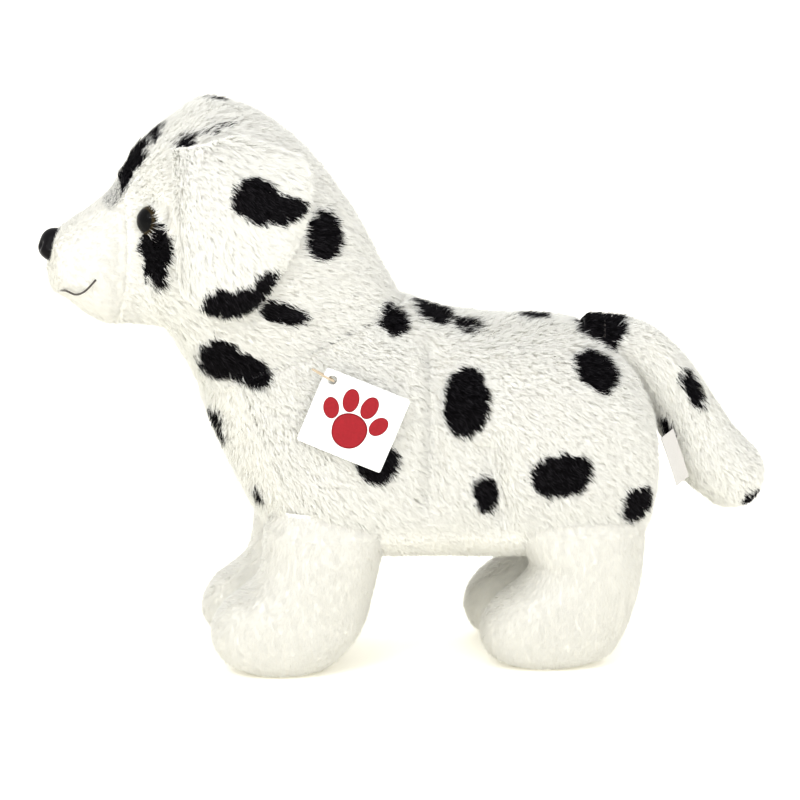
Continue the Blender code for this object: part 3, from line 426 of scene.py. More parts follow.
def ripple(points, size, seed):
    """Smooth noise from -1 to 1: the mean of four sine waves in directions set by the seed."""
    rng = np.random.default_rng(seed)
    total = 0.0
    for _ in range(4):
        way = unit(rng.normal(size=3))
        total = total + np.sin(points @ way * (2.0 * PI / size) * rng.uniform(0.7, 1.5) + rng.uniform(0.0, 6.3))
    return 0.25 * total


def scatter_hash(cells, salt):
    """A number from 0 to 1 for each whole-numbered cell, from the fraction of a large sine."""
    mixed = cells[..., 0] * 12.9898 + cells[..., 1] * 78.233 + cells[..., 2] * 37.719 + salt * 4.1414
    value = np.sin(mixed) * 43758.5453
    return value - np.floor(value)


def dyed(points, spots):
    """How black the dye is at each point, from 0 to 1: one inside an ellipsoid whose outline
    wanders, falling to nothing over about two millimetres."""
    wander = np.stack([ripple(points, 9.0 * MM, 3), ripple(points, 9.0 * MM, 4), ripple(points, 8.0 * MM, 5)], -1)
    fine = np.stack([ripple(points, 4.0 * MM, 6), ripple(points, 4.0 * MM, 7), ripple(points, 4.0 * MM, 8)], -1)
    moved = points + wander * 1.3 * MM + fine * 0.5 * MM
    black = np.zeros(points.shape[:-1])
    for x, y, z, length, height, depth, tilt in spots:
        offset = moved - np.array([x * X_SCALE, y * MM, z * Z_SCALE])
        turn = math.radians(tilt)
        along = offset[..., 0] * math.cos(turn) - offset[..., 2] * math.sin(turn)
        across = offset[..., 0] * math.sin(turn) + offset[..., 2] * math.cos(turn)
        flat = (along / length) ** 2 + (across / height) ** 2
        away = (flat**2 + (offset[..., 1] / depth) ** 4) ** 0.25 / MM
        edge = (1.0 - away) * min(length, height) / 1.6 + 0.5
        black = np.maximum(black, np.clip(edge, 0.0, 1.0))
    return black


# ---------------------------------------------------------------- meshes


def new_mesh(name, points, face_sets, material, colours=None, uv=None, sharp=None, shading=None):
    """A mesh object from an array of points and arrays of faces, with a colour, a place on the flat
    map and a shading normal for each point."""
    mesh = bpy.data.meshes.new(name)
    points = np.ascontiguousarray(points, np.float32).reshape(-1, 3)
    corners = np.concatenate([faces.ravel() for faces in face_sets]).astype(np.int32)
    sizes = np.concatenate([np.full(len(faces), faces.shape[1]) for faces in face_sets])
    mesh.vertices.add(len(points))
    mesh.vertices.foreach_set("co", points.ravel())
    mesh.loops.add(len(corners))
    mesh.loops.foreach_set("vertex_index", corners)
    mesh.polygons.add(len(sizes))
    mesh.polygons.foreach_set("loop_start", (np.cumsum(sizes) - sizes).astype(np.int32))
    mesh.update(calc_edges=True)
    if uv is not None:
        layer = mesh.uv_layers.new(name="OFBake")
        layer.data.foreach_set("uv", np.ascontiguousarray(uv, np.float32).reshape(-1, 2)[corners].ravel())
    if colours is not None:
        # The colour attribute holds the dye's colours and, on pile and cloth, painted shade.
        layer = mesh.color_attributes.new(name="DyeAndShade", type="FLOAT_COLOR", domain="POINT")
        opaque = np.concatenate([colours.reshape(-1, 3), np.ones((len(points), 1))], axis=1)
        layer.data.foreach_set("color", opaque.astype(np.float32).ravel())
    mesh.shade_smooth()
    if sharp is not None:
        mesh.set_sharp_from_angle(angle=math.radians(sharp))
    if shading is not None:
        mesh.normals_split_custom_set_from_vertices(np.ascontiguousarray(shading, np.float32).reshape(-1, 3))
    obj = bpy.data.objects.new(name, mesh)
    bpy.context.scene.collection.objects.link(obj)
    mesh.materials.append(material)
    return obj


def quads(rows, columns, start=0, flip=False):
    """Faces of a grid of points, as an array of four corners each."""
    index = start + np.arange(rows * columns).reshape(rows, columns)
    faces = np.stack([index[:-1, :-1], index[1:, :-1], index[1:, 1:], index[:-1, 1:]], axis=-1).reshape(-1, 4)
    return faces[:, ::-1] if flip else faces


def cloth(name, points, outward, thickness, material, colours):
    """A closed slab of cloth: the grid of points, the same grid moved in along the normals, and
    a wall round the border."""
    rows, columns = points.shape[:2]
    count = rows * columns
    index = np.arange(count).reshape(rows, columns)
    rim = np.concatenate([index[0, :-1], index[:-1, -1], index[-1, :0:-1], index[:0:-1, 0]])
    following = np.roll(rim, -1)
    wall = np.stack([rim, following, following + count, rim + count], axis=-1)
    middle = np.cross(points[rows // 2 + 1, columns // 2] - points[rows // 2, columns // 2],
                      points[rows // 2, columns // 2 + 1] - points[rows // 2, columns // 2])
    flip = float(middle @ outward[rows // 2, columns // 2]) < 0.0
    v, u = np.meshgrid(np.linspace(0.01, 0.99, rows), np.linspace(0.01, 0.485, columns), indexing="ij")
    flat = np.stack([u, v], axis=-1).reshape(-1, 2)
    both = np.concatenate([points.reshape(-1, 3), (points - outward * thickness).reshape(-1, 3)])
    face_sets = [
        quads(rows, columns, 0, flip),
        quads(rows, columns, count, not flip),
        wall[:, ::-1] if flip else wall,
    ]
    dyes = np.concatenate([colours.reshape(-1, 3)] * 2)
    return new_mesh(name, both, face_sets, material, dyes, np.concatenate([flat, flat + (0.5, 0.0)]), sharp=50.0)


def settle(obj, body=None, nodes=(), across=None):
    """Puts a piece on its body, or with across bakes its place into its mesh and leaves it on no body, and hides what
    it stands for.
    """
    if nodes:
        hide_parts(*nodes)
    if across:
        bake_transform(obj)
    else:
        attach(obj, body)
    return obj


# ---------------------------------------------------------------- pile


def read_grid(values, i, j, u, v):
    """Bilinear reading of a grid's values inside its cells."""
    wide = (slice(None),) + (None,) * (values.ndim - 2)
    u, v = u[wide], v[wide]
    low = values[i, j] * (1.0 - v) + values[i, j + 1] * v
    high = values[i + 1, j] * (1.0 - v) + values[i + 1, j + 1] * v
    return low * (1.0 - u) + high * u


def pile(name, points, outward, comb, reach, dye, material, *, per_mm2, width, seed, bent=True, limit=61000):
    """Strands over a grid. Roots lie evenly by area; a strand leaves along the normal leant towards
    the comb, by more where the comb is longer than one, bends further over at its middle and ends
    in a point, drawn towards its tuft's middle. A straight one is a single blade. reach is each
    strand's length by grid point, and dye is a function of places. Shading normals lean from the
    strand's own towards the cloth's. A strand that would reach below the floor is pressed flat."""
    settings = bpy.context.scene.plush_pile
    dyes = bpy.context.scene.plush_dyes
    rng = np.random.default_rng(settings.seed + seed)
    edge_a = points[1:, :-1] - points[:-1, :-1]
    edge_b = points[:-1, 1:] - points[:-1, :-1]
    edge_c = points[1:, 1:] - points[1:, :-1]
    edge_d = points[1:, 1:] - points[:-1, 1:]
    area = 0.5 * (np.linalg.norm(np.cross(edge_a, edge_b), axis=-1) + np.linalg.norm(np.cross(edge_c, edge_d), axis=-1))
    shown = 0.25 * (reach[:-1, :-1] + reach[1:, :-1] + reach[:-1, 1:] + reach[1:, 1:]) > 0.05 * MM
    area = area * shown
    count = int(min(limit, per_mm2 * area.sum() / MM**2))
    chosen = rng.choice(area.size, size=count, p=(area / area.sum()).ravel())
    i, j = np.divmod(chosen, area.shape[1])
    u, v = rng.random(count), rng.random(count)
    root = read_grid(points, i, j, u, v)
    up = unit(read_grid(outward, i, j, u, v))
    way = read_grid(comb, i, j, u, v)
    press = np.clip(np.linalg.norm(way, axis=-1, keepdims=True), 0.9, 1.5)
    way = unit(way - np.sum(way * up, axis=-1, keepdims=True) * up)
    side = np.cross(up, way)
    long = (read_grid(reach, i, j, u, v) * rng.uniform(0.72, 1.12, count))[:, None]

    tuft = settings.tuft * (1.0 if bent else 0.6)
    cell = np.floor(root / tuft)
    centre = (cell + 0.5 + 0.35 * np.stack([scatter_hash(cell, k) - 0.5 for k in (1, 2, 3)], -1)) * tuft
    pull = centre - root
    pull -= np.sum(pull * up, axis=-1, keepdims=True) * up
    swing = 2.0 * np.stack([scatter_hash(cell, 4), scatter_hash(cell, 5)], -1) - 1.0

    lean = settings.lean * press * (1.0 if bent else 1.75) * (1.0 + 0.1 * rng.normal(size=(count, 1)))
    veer = 0.28 * swing[:, :1] + 0.16 * rng.normal(size=(count, 1))
    heading = unit(way * np.cos(veer) + side * np.sin(veer))
    low_lean = np.minimum(0.72 * lean, 1.3)
    stem = unit(up * np.cos(low_lean) + heading * np.sin(low_lean))
    over = np.minimum(1.3 * lean + 0.15 * swing[:, 1:], 1.45)
    bend = unit(up * np.cos(over) + heading * np.sin(over))
    start = root - up * 0.35 * MM
    middle = root + stem * 0.5 * long + pull * 0.08
    tip = middle + (bend if bent else stem) * 0.5 * long + pull * 0.14
    spin = rng.normal(size=(count, 1)) * 0.35
    flat = unit(np.cross(stem, up))
    flat = unit(flat * np.cos(spin) + np.cross(stem, flat) * np.sin(spin))
    face = unit(np.cross(flat, stem))
    half = 0.5 * width * rng.uniform(0.75, 1.25, (count, 1))
    lit = unit(up + 0.14 * face)
    lit_tip = unit(up + 0.1 * face + 0.2 * bend)

    black = (dye(0.4 * middle + 0.6 * tip) > rng.random(count))[:, None]
    white_dye, black_dye, grey_dye = (np.array(c) for c in (dyes.white, dyes.black, dyes.grey))
    # Painted shade: the straight short pile of the legs, soles and muzzle is painted a little darker than the long
    # pile, to tone down the light it catches.
    white = np.clip(white_dye * (1.0 if bent else 0.955) * (1.0 + 0.02 * rng.normal(size=(count, 1))), 0.0, 0.985)
    dark = black_dye * rng.uniform(0.6, 1.5, (count, 1))
    frost = dark + (grey_dye - dark) * rng.random((count, 1)) ** 3
    # Painted shade: white strands are painted a little darker and warmer at their roots, where the pile shades itself.
    low = np.where(black, dark, white * (0.97, 0.96, 0.94))
    mid = np.where(black, dark, white)
    high = np.where(black, frost, white)
    if bent:
        strands = [start - flat * half, start + flat * half, middle - flat * half * 0.8,
                   middle + flat * half * 0.8, tip]
        colours = [low, low, mid, mid, high]
        shading = [lit, lit, lit, lit, lit_tip]
        pattern = np.array([[0, 1, 3], [0, 3, 2], [2, 3, 4]])
    else:
        strands = [start - flat * half, start + flat * half, tip]
        colours = [low, low, high]
        shading = [lit, lit, lit_tip]
        pattern = np.array([[0, 1, 2]])
    strands = np.stack(strands, axis=1)
    strands[..., 2] = np.maximum(strands[..., 2], 0.05 * MM)
    each = strands.shape[1]
    faces = (np.arange(count)[:, None, None] * each + pattern).reshape(-1, 3)
    rows, columns = area.shape
    place = np.stack([0.01 + 0.97 * (j + v) / columns, 0.01 + 0.97 * (i + u) / rows], -1)[:, None]
    small = 0.35 / math.sqrt(count)
    patch = small * np.array([[0.0, 0.0], [1.0, 0.0], [0.0, 1.0], [1.0, 1.0], [0.5, 1.6]])
    patch = patch if bent else patch[[0, 1, 4]]
    return new_mesh(name, strands, [faces], material, np.stack(colours, axis=1),
                    np.clip(place + patch, 0.0, 1.0), shading=np.stack(shading, axis=1))


def skin_dye_and_shade(black):
    """Cloth under the pile: the pile's white with painted shade, a little darker and warmer, going to black by the
    dye's share.
    """
    dyes = bpy.context.scene.plush_dyes
    # Painted shade: the cloth is painted a little darker and warmer than the pile's white, as the pile over it shades
    # it.
    white = np.array(dyes.white) * (0.97, 0.96, 0.93)
    return white + (np.array(dyes.black) - white) * black[..., None]


# ---------------------------------------------------------------- materials


def nodes_of(name):
    """A new material with its node tree, its Principled shader and a node maker."""
    material = bpy.data.materials.new(name)
    material.use_nodes = True
    tree = material.node_tree
    shader = tree.nodes["Principled BSDF"]

    def add(kind, **values):
        node = tree.nodes.new(kind)
        for key, value in values.items():
            if hasattr(node, key):
                setattr(node, key, value)
            else:
                node.inputs[key.replace("_", " ")].default_value = value
        return node

    return material, tree.links.new, shader, add


def dyed_fibre(name, grain, depth, sheen, glow):
    """Fibre in its colour attribute's dye and painted shade, with slow and fine changes of shade from two noises and a
    bump.
    """
    material, link, shader, add = nodes_of(name)
    dye = add("ShaderNodeAttribute", attribute_name="DyeAndShade")
    place = add("ShaderNodeTexCoord")
    slow = add("ShaderNodeTexNoise", Scale=55.0, Detail=3.0)
    fine = add("ShaderNodeTexNoise", Scale=grain, Detail=4.0)
    link(place.outputs["Object"], slow.inputs["Vector"])
    link(place.outputs["Object"], fine.inputs["Vector"])
    sum_of = add("ShaderNodeMath", operation="ADD")
    link(slow.outputs["Fac"], sum_of.inputs[0])
    link(fine.outputs["Fac"], sum_of.inputs[1])
    spread = add("ShaderNodeMapRange")
    spread.inputs["From Min"].default_value = 0.6
    spread.inputs["From Max"].default_value = 1.4
    spread.inputs["To Min"].default_value = 1.0 - depth
    spread.inputs["To Max"].default_value = 1.0
    link(sum_of.outputs[0], spread.inputs["Value"])
    tint = add("ShaderNodeMix", data_type="RGBA", blend_type="MULTIPLY")
    tint.inputs["Factor"].default_value = 1.0
    link(dye.outputs["Color"], tint.inputs["A"])
    link(spread.outputs["Result"], tint.inputs["B"])
    link(tint.outputs["Result"], shader.inputs["Base Color"])
    rough = add("ShaderNodeMapRange")
    rough.inputs["To Min"].default_value = 0.78
    rough.inputs["To Max"].default_value = 0.98
    link(fine.outputs["Fac"], rough.inputs["Value"])
    link(rough.outputs["Result"], shader.inputs["Roughness"])
    bump = add("ShaderNodeBump")
    bump.inputs["Strength"].default_value = 0.15
    bump.inputs["Distance"].default_value = 0.2 * MM
    link(fine.outputs["Fac"], bump.inputs["Height"])
    link(bump.outputs["Normal"], shader.inputs["Normal"])
    shader.inputs["Specular IOR Level"].default_value = 0.1
    shader.inputs["Sheen Weight"].default_value = sheen
    shader.inputs["Sheen Roughness"].default_value = 0.5
    through = add("ShaderNodeBsdfTranslucent")
    link(tint.outputs["Result"], through.inputs["Color"])
    both = add("ShaderNodeMixShader", Fac=glow)
    link(shader.outputs["BSDF"], both.inputs[1])
    link(through.outputs["BSDF"], both.inputs[2])
    output = material.node_tree.nodes["Material Output"]
    link(both.outputs["Shader"], output.inputs["Surface"])
    return material


def moulded(name, colour, roughness, shine, scale):
    """Moulded plastic: a colour that hardly changes, fine unevenness in its gloss and face."""
    material, link, shader, add = nodes_of(name)
    place = add("ShaderNodeTexCoord")
    noise = add("ShaderNodeTexNoise", Scale=scale, Detail=2.0)
    link(place.outputs["Object"], noise.inputs["Vector"])
    ramp = add("ShaderNodeMix", data_type="RGBA")
    link(noise.outputs["Fac"], ramp.inputs["Factor"])
    ramp.inputs["A"].default_value = (*(0.8 * c for c in colour), 1.0)
    ramp.inputs["B"].default_value = (*(min(1.2 * c, 1.0) for c in colour), 1.0)
    link(ramp.outputs["Result"], shader.inputs["Base Color"])
    gloss = add("ShaderNodeMapRange")
    gloss.inputs["To Min"].default_value = 0.8 * roughness
    gloss.inputs["To Max"].default_value = 1.3 * roughness
    link(noise.outputs["Fac"], gloss.inputs["Value"])
    link(gloss.outputs["Result"], shader.inputs["Roughness"])
    bump = add("ShaderNodeBump")
    bump.inputs["Strength"].default_value = 0.08
    bump.inputs["Distance"].default_value = 0.1 * MM
    link(noise.outputs["Fac"], bump.inputs["Height"])
    link(bump.outputs["Normal"], shader.inputs["Normal"])
    shader.inputs["Specular IOR Level"].default_value = shine
    return material


def woven(name, colour, pitch, rough):
    """Yarn or ribbon: crossed waves along and across the piece's own map, in colour and bump."""
    material, link, shader, add = nodes_of(name)
    place = add("ShaderNodeTexCoord")
    across = add("ShaderNodeTexWave", Scale=pitch, Distortion=0.4)
    down = add("ShaderNodeTexWave", Scale=pitch, Distortion=0.4)
    across.bands_direction = "X"
    down.bands_direction = "Z"
    link(place.outputs["Object"], across.inputs["Vector"])
    link(place.outputs["Object"], down.inputs["Vector"])
    cross = add("ShaderNodeMath", operation="MULTIPLY")
    link(across.outputs["Fac"], cross.inputs[0])
    link(down.outputs["Fac"], cross.inputs[1])
    ramp = add("ShaderNodeMix", data_type="RGBA")
    link(cross.outputs[0], ramp.inputs["Factor"])
    ramp.inputs["A"].default_value = (*(0.8 * c for c in colour), 1.0)
    ramp.inputs["B"].default_value = (*(min(1.06 * c, 1.0) for c in colour), 1.0)
    link(ramp.outputs["Result"], shader.inputs["Base Color"])
    bump = add("ShaderNodeBump")
    bump.inputs["Strength"].default_value = 0.3
    bump.inputs["Distance"].default_value = 0.15 * MM
    link(cross.outputs[0], bump.inputs["Height"])
    link(bump.outputs["Normal"], shader.inputs["Normal"])
    shader.inputs["Roughness"].default_value = rough
    shader.inputs["Sheen Weight"].default_value = 0.3
    return material


def finish_of(name):
    """The dog's finishes by name, each made once."""
    found = bpy.data.materials.get(name)
    if found:
        return found
    dyes = bpy.context.scene.plush_dyes
    made = {
        "long_pile_fibre": lambda: dyed_fibre(name, 900.0, 0.02, 0.0, 0.5),
        "short_pile_fibre": lambda: dyed_fibre(name, 1500.0, 0.02, 0.0, 0.4),
        "backing_cloth": lambda: dyed_fibre(name, 1800.0, 0.06, 0.1, 0.1),
        "black_safety_plastic": lambda: moulded(name, (0.004, 0.0035, 0.004), 0.16, 0.07, 300.0),
        "natural_washer_plastic": lambda: moulded(name, (0.75, 0.75, 0.72), 0.42, 0.5, 700.0),
        "loose_stuffing": lambda: dyed_fibre_plain(name, (0.93, 0.93, 0.93)),
        "tag_thread": lambda: woven(name, tuple(dyes.thread), 2600.0, 0.75),
        "mouth_thread": lambda: woven(name, (0.045, 0.035, 0.03), 2600.0, 0.8),
        "label_ribbon": lambda: woven(name, (0.62, 0.6, 0.57), 1500.0, 0.5),
        "tag_card": lambda: moulded(name, (0.93, 0.92, 0.90), 0.38, 0.3, 500.0),
        "tag_ink": lambda: moulded(name, tuple(dyes.motif), 0.5, 0.1, 900.0),
    }
    return made[name]()


def dyed_fibre_plain(name, colour):
    """Loose fibre: matted by noise in shade and bump."""
    material = dyed_fibre(name, 260.0, 0.25, 0.4, 0.2)
    tree = material.node_tree
    tint = next(n for n in tree.nodes if n.type == "MIX")
    for link in list(tint.inputs["A"].links):
        tree.links.remove(link)
    tint.inputs["A"].default_value = (*colour, 1.0)
    return material


# ---------------------------------------------------------------- torso


NECK_TOP = np.array([TORSO_SECTIONS[-1][0] * X_SCALE, 0.0, TORSO_SECTIONS[-1][1] * Z_SCALE])
NECK_LOW = np.array([TORSO_SECTIONS[-1][2] * X_SCALE, 0.0, TORSO_SECTIONS[-1][3] * Z_SCALE])
NECK_CENTRE = 0.5 * (NECK_TOP + NECK_LOW)
NECK_NORMAL = unit(np.array([-(NECK_TOP - NECK_LOW)[2], 0.0, (NECK_TOP - NECK_LOW)[0]]))
NECK_BEND = (
    "torso",
    "head",
    tuple(NECK_CENTRE - NECK_NORMAL * 8.0 * MM),
    tuple(NECK_CENTRE + NECK_NORMAL * 26.0 * MM),
)


def tail_frame(t):
    """Centre, radius, direction and upward normal of the tail at the places t along it."""
    x, z, share = np.moveaxis(smooth_rows(TAIL_LINE, t), -1, 0)
    step = smooth_rows(TAIL_LINE, np.minimum(t + 0.05, 6.0)) - smooth_rows(TAIL_LINE, np.maximum(t - 0.05, 0.0))
    run = unit(np.stack([step[..., 0] * X_SCALE, 0.0 * t, step[..., 1] * Z_SCALE], axis=-1))
    up = np.stack([-run[..., 2], 0.0 * t, run[..., 0]], axis=-1)
    return np.stack([x * X_SCALE, 0.0 * t, z * Z_SCALE], axis=-1), 0.5 * TAIL_DIAMETER * share, run, up


def torso_relief(points):
    """How far the torso's cover stands in or out: creases behind the shoulder and before the
    thigh, a full shoulder and thigh, and a slow unevenness of the stuffing."""
    side = smoothstep(12.0 * MM, 34.0 * MM, np.abs(points[..., 1]))
    crease = -3.8 * MM * bell(from_line(points, (6.0, 134.0), (3.5, 73.0)), 5.0 * MM)
    crease -= 3.2 * MM * bell(from_line(points, (27.0, 94.0), (32.6, 64.0)), 5.0 * MM)
    crease += 1.2 * MM * bell(from_line(points, (-32.0, 110.0), (-30.0, 82.0)), 22.0 * MM)
    crease += 1.0 * MM * bell(from_line(points, (62.0, 96.0), (66.0, 82.0)), 22.0 * MM)
    return crease * side + 0.45 * MM * ripple(points, 38.0 * MM, 21)


def tail_hollow(points, outward, room):
    """The points moved in along their normals until they clear the tail by room."""
    centre, radius, run, up = tail_frame(np.linspace(0.0, 6.0, 60))
    away = np.linalg.norm(points[..., None, :] - centre, axis=-1) - radius
    short = np.maximum(room - away.min(axis=-1), 0.0)
    return points - outward * (short * 1.15)[..., None]


def torso_grid():
    """The torso's cloth as one grid with its normals, comb direction and strand lengths."""
    settings = bpy.context.scene.plush_pile
    t, a = np.meshgrid(np.linspace(0.0, TORSO_LAST, 150), np.linspace(0.0, 2.0 * PI, 193), indexing="ij")
    points = torso(t, a)
    outward = facing_out(points, grid_normals(points, closed=True))
    outward[0] = (1.0, 0.0, 0.0)
    fold = np.minimum(a, 2.0 * PI - a)
    belly = smoothstep(BELLY_SEAM - 0.05 * PI, BELLY_SEAM + 0.03 * PI, fold)
    belly = belly * smoothstep(66.0 * MM, 54.0 * MM, points[..., 2])
    inset = (3.9 - 2.0 * belly) * MM
    points = points + outward * (torso_relief(points) - inset)[..., None]
    seam = bell((fold - BELLY_SEAM) * 44.0 * MM, 1.6 * MM) * 0.9 * MM + bell(fold * 40.0 * MM, 1.5 * MM) * 0.4 * MM
    points = points - outward * seam[..., None]
    points = tail_hollow(points, outward, -1.6 * MM)
    outward = facing_out(points, grid_normals(points, closed=True))
    outward[0] = (1.0, 0.0, 0.0)
    comb = np.zeros_like(points) + (0.72, 0.0, -0.69)
    length = settings.long_pile + (settings.short_pile - settings.long_pile) * belly
    near_tail = tail_gap(points)
    length = length * (0.45 + 0.55 * smoothstep(-1.0 * MM, 5.0 * MM, near_tail))
    return points, outward, comb, length


def tail_gap(points):
    centre, radius, run, up = tail_frame(np.linspace(0.0, 6.0, 60))
    return (np.linalg.norm(points[..., None, :] - centre, axis=-1) - radius).min(axis=-1)


class PLUSHDOG_OT_torso(bpy.types.Operator):
    """Makes the body's three cloth panels and their pile."""

    bl_idname = "plushdog.torso"
    bl_label = "Torso"

    def execute(self, context):
        settings = context.scene.plush_pile
        points, outward, comb, length = torso_grid()
        black = dyed(points, BODY_SPOTS)
        seam = int(round(BELLY_SEAM / (2.0 * PI) * 192))
        panels = (
            ("torso_left", slice(0, seam + 1), "torso_left_panel", True),
            ("belly", slice(seam, 193 - seam), "belly_panel", False),
            ("torso_right", slice(192 - seam, 193), "torso_right_panel", True),
        )
        for index, (name, columns, node, long) in enumerate(panels):
            part = (slice(None), columns)
            backing = cloth(name + "_cloth", points[part], outward[part], 1.0 * MM, finish_of("backing_cloth"),
                            skin_dye_and_shade(black[part]))
            settle(backing, nodes=[node], across=NECK_BEND)
            strands = pile(name + "_pile", points[part], outward[part], comb[part], length[part],
                           lambda roots: dyed(roots, BODY_SPOTS),
                           finish_of("long_pile_fibre"), per_mm2=settings.long_strands * (1.25 if long else 0.6),
                           width=settings.long_width, seed=100 + index)
            settle(strands, across=NECK_BEND)
        return {"FINISHED"}


# ---------------------------------------------------------------- legs


def leg_grid(outline, side):
    """A leg's cloth as rings: at each height a superellipse between its front and back, half as
    wide as its share of the leg's width."""
    settings = bpy.context.scene.plush_pile
    last = len(outline) - 1.0
    h, a = np.meshgrid(np.linspace(0.0, last, 70), np.linspace(0.0, 2.0 * PI, 121), indexing="ij")
    z, front, back, share = np.moveaxis(smooth_rows(outline, h), -1, 0)
    reach = (np.abs(np.sin(a)) ** 2.3 + np.abs(np.cos(a)) ** 2.3) ** (-1.0 / 2.3)
    x = 0.5 * (front + back) - 0.5 * (back - front) * reach * np.cos(a)
    y = 0.5 * LEG_SPACING + 0.5 * LEG_WIDTH * share * reach * np.sin(a)
    points = np.stack([x * X_SCALE, side * y, z * Z_SCALE], axis=-1)
    outward = facing_out(points, grid_normals(points, closed=True))
    fold = np.minimum(a, 2.0 * PI - a)
    seam = bell(fold * 22.0 * MM, 1.1 * MM) * 0.8 * MM + bell((PI - fold) * 22.0 * MM, 1.1 * MM) * 0.5 * MM
    inset = 1.9 * MM + seam - 0.35 * MM * ripple(points, 26.0 * MM, 31)
    inset = inset + 2.6 * MM * smoothstep(57.0 * MM, 67.0 * MM, points[..., 2])
    points = points - outward * inset[..., None]
    points[..., 2] = np.maximum(points[..., 2], 0.9 * MM)
    outward = facing_out(points, grid_normals(points, closed=True))
    comb = np.zeros_like(points) + (0.1, 0.0, -1.0)
    length = settings.short_pile + 0.0 * x
    return points, outward, comb, length


def sole_grid(ring, outward):
    """A flat sole inside a leg's lowest ring: the ring shrunk towards its middle."""
    share = np.linspace(0.02, 1.0, 14)[:, None, None]
    middle = ring[:-1].mean(axis=0)
    points = middle + (ring - middle) * share
    normals = np.zeros_like(points) + (0.0, 0.0, -1.0)
    normals[-1] = unit(outward + (0.0, 0.0, -1.0))
    return points, normals, points - middle + (0.001, 0.0, 0.0)


class PLUSHDOG_OT_legs(bpy.types.Operator):
    """Makes the four legs: an outer and an inner panel, a sole and their short pile."""

    bl_idname = "plushdog.legs"
    bl_label = "Legs"

    def execute(self, context):
        settings = context.scene.plush_pile
        fibre = finish_of("short_pile_fibre")
        for index, (name, outline, side) in enumerate(LEGS):
            points, outward, comb, length = leg_grid(outline, side)
            white = np.zeros(points.shape[:2])
            for part, columns in (("outer", slice(0, 61)), ("inner", slice(60, 121))):
                cut = (slice(None), columns)
                backing = cloth(f"{name}_leg_{part}_cloth", points[cut], outward[cut], 1.0 * MM,
                                finish_of("backing_cloth"), skin_dye_and_shade(white[cut]))
                settle(backing, "torso", [f"{name}_leg_{part}_panel"])
                strands = pile(f"{name}_leg_{part}_pile", points[cut], outward[cut], comb[cut], length[cut],
                               lambda roots: 0.0 * roots[:, 0], fibre, per_mm2=settings.short_strands,
                               width=settings.short_width, seed=200 + 10 * index + (part == "inner"), bent=False)
                settle(strands, "torso")
            ring, normals, spokes = sole_grid(points[0], outward[0])
            ring = ring + normals * 1.0 * MM
            sole = cloth(f"{name}_sole_cloth", ring, normals, 1.0 * MM, finish_of("backing_cloth"),
                         skin_dye_and_shade(np.zeros(ring.shape[:2])))
            settle(sole, "torso", [f"{name}_paw_sole"])
            strands = pile(f"{name}_sole_pile", ring, normals, spokes, 0.9 * MM + 0.0 * ring[..., 0],
                           lambda roots: 0.0 * roots[:, 0], fibre, per_mm2=settings.short_strands,
                           width=settings.short_width, seed=260 + index, bent=False)
            settle(strands, "torso")
        return {"FINISHED"}


# ---------------------------------------------------------------- head


def seam_section(a):
    """Where the muzzle's seam lies at each angle, in sections from the neck."""
    return HEAD_LAST + 2.2 - MUZZLE_SEAM_BACK * np.sin(a) ** 2


def head_place(t, a):
    """A place on the head's surface and its normal, from small steps along both parameters."""
    t, a = np.array([t]), np.array([a])
    step = 0.02
    along = whole_head(t + step, a) - whole_head(t - step, a)
    around = whole_head(t, a + step) - whole_head(t, a - step)
    found = unit(np.cross(along, around))[0]
    point = whole_head(t, a)[0]
    middle = 0.5 * (whole_head(t, 0.0 * a)[0] + whole_head(t, 0.0 * a + PI)[0])
    return point, found * np.sign(found @ (point - middle))


def eye_seat(side):
    """The middle of an eye's seat, sunk into the pile, and the way that it looks."""
    place, axis = head_place(HEAD_LAST + EYE_SECTION, EYE_ANGLE if side == LEFT else 2.0 * PI - EYE_ANGLE)
    return place - axis * 3.8 * MM, axis


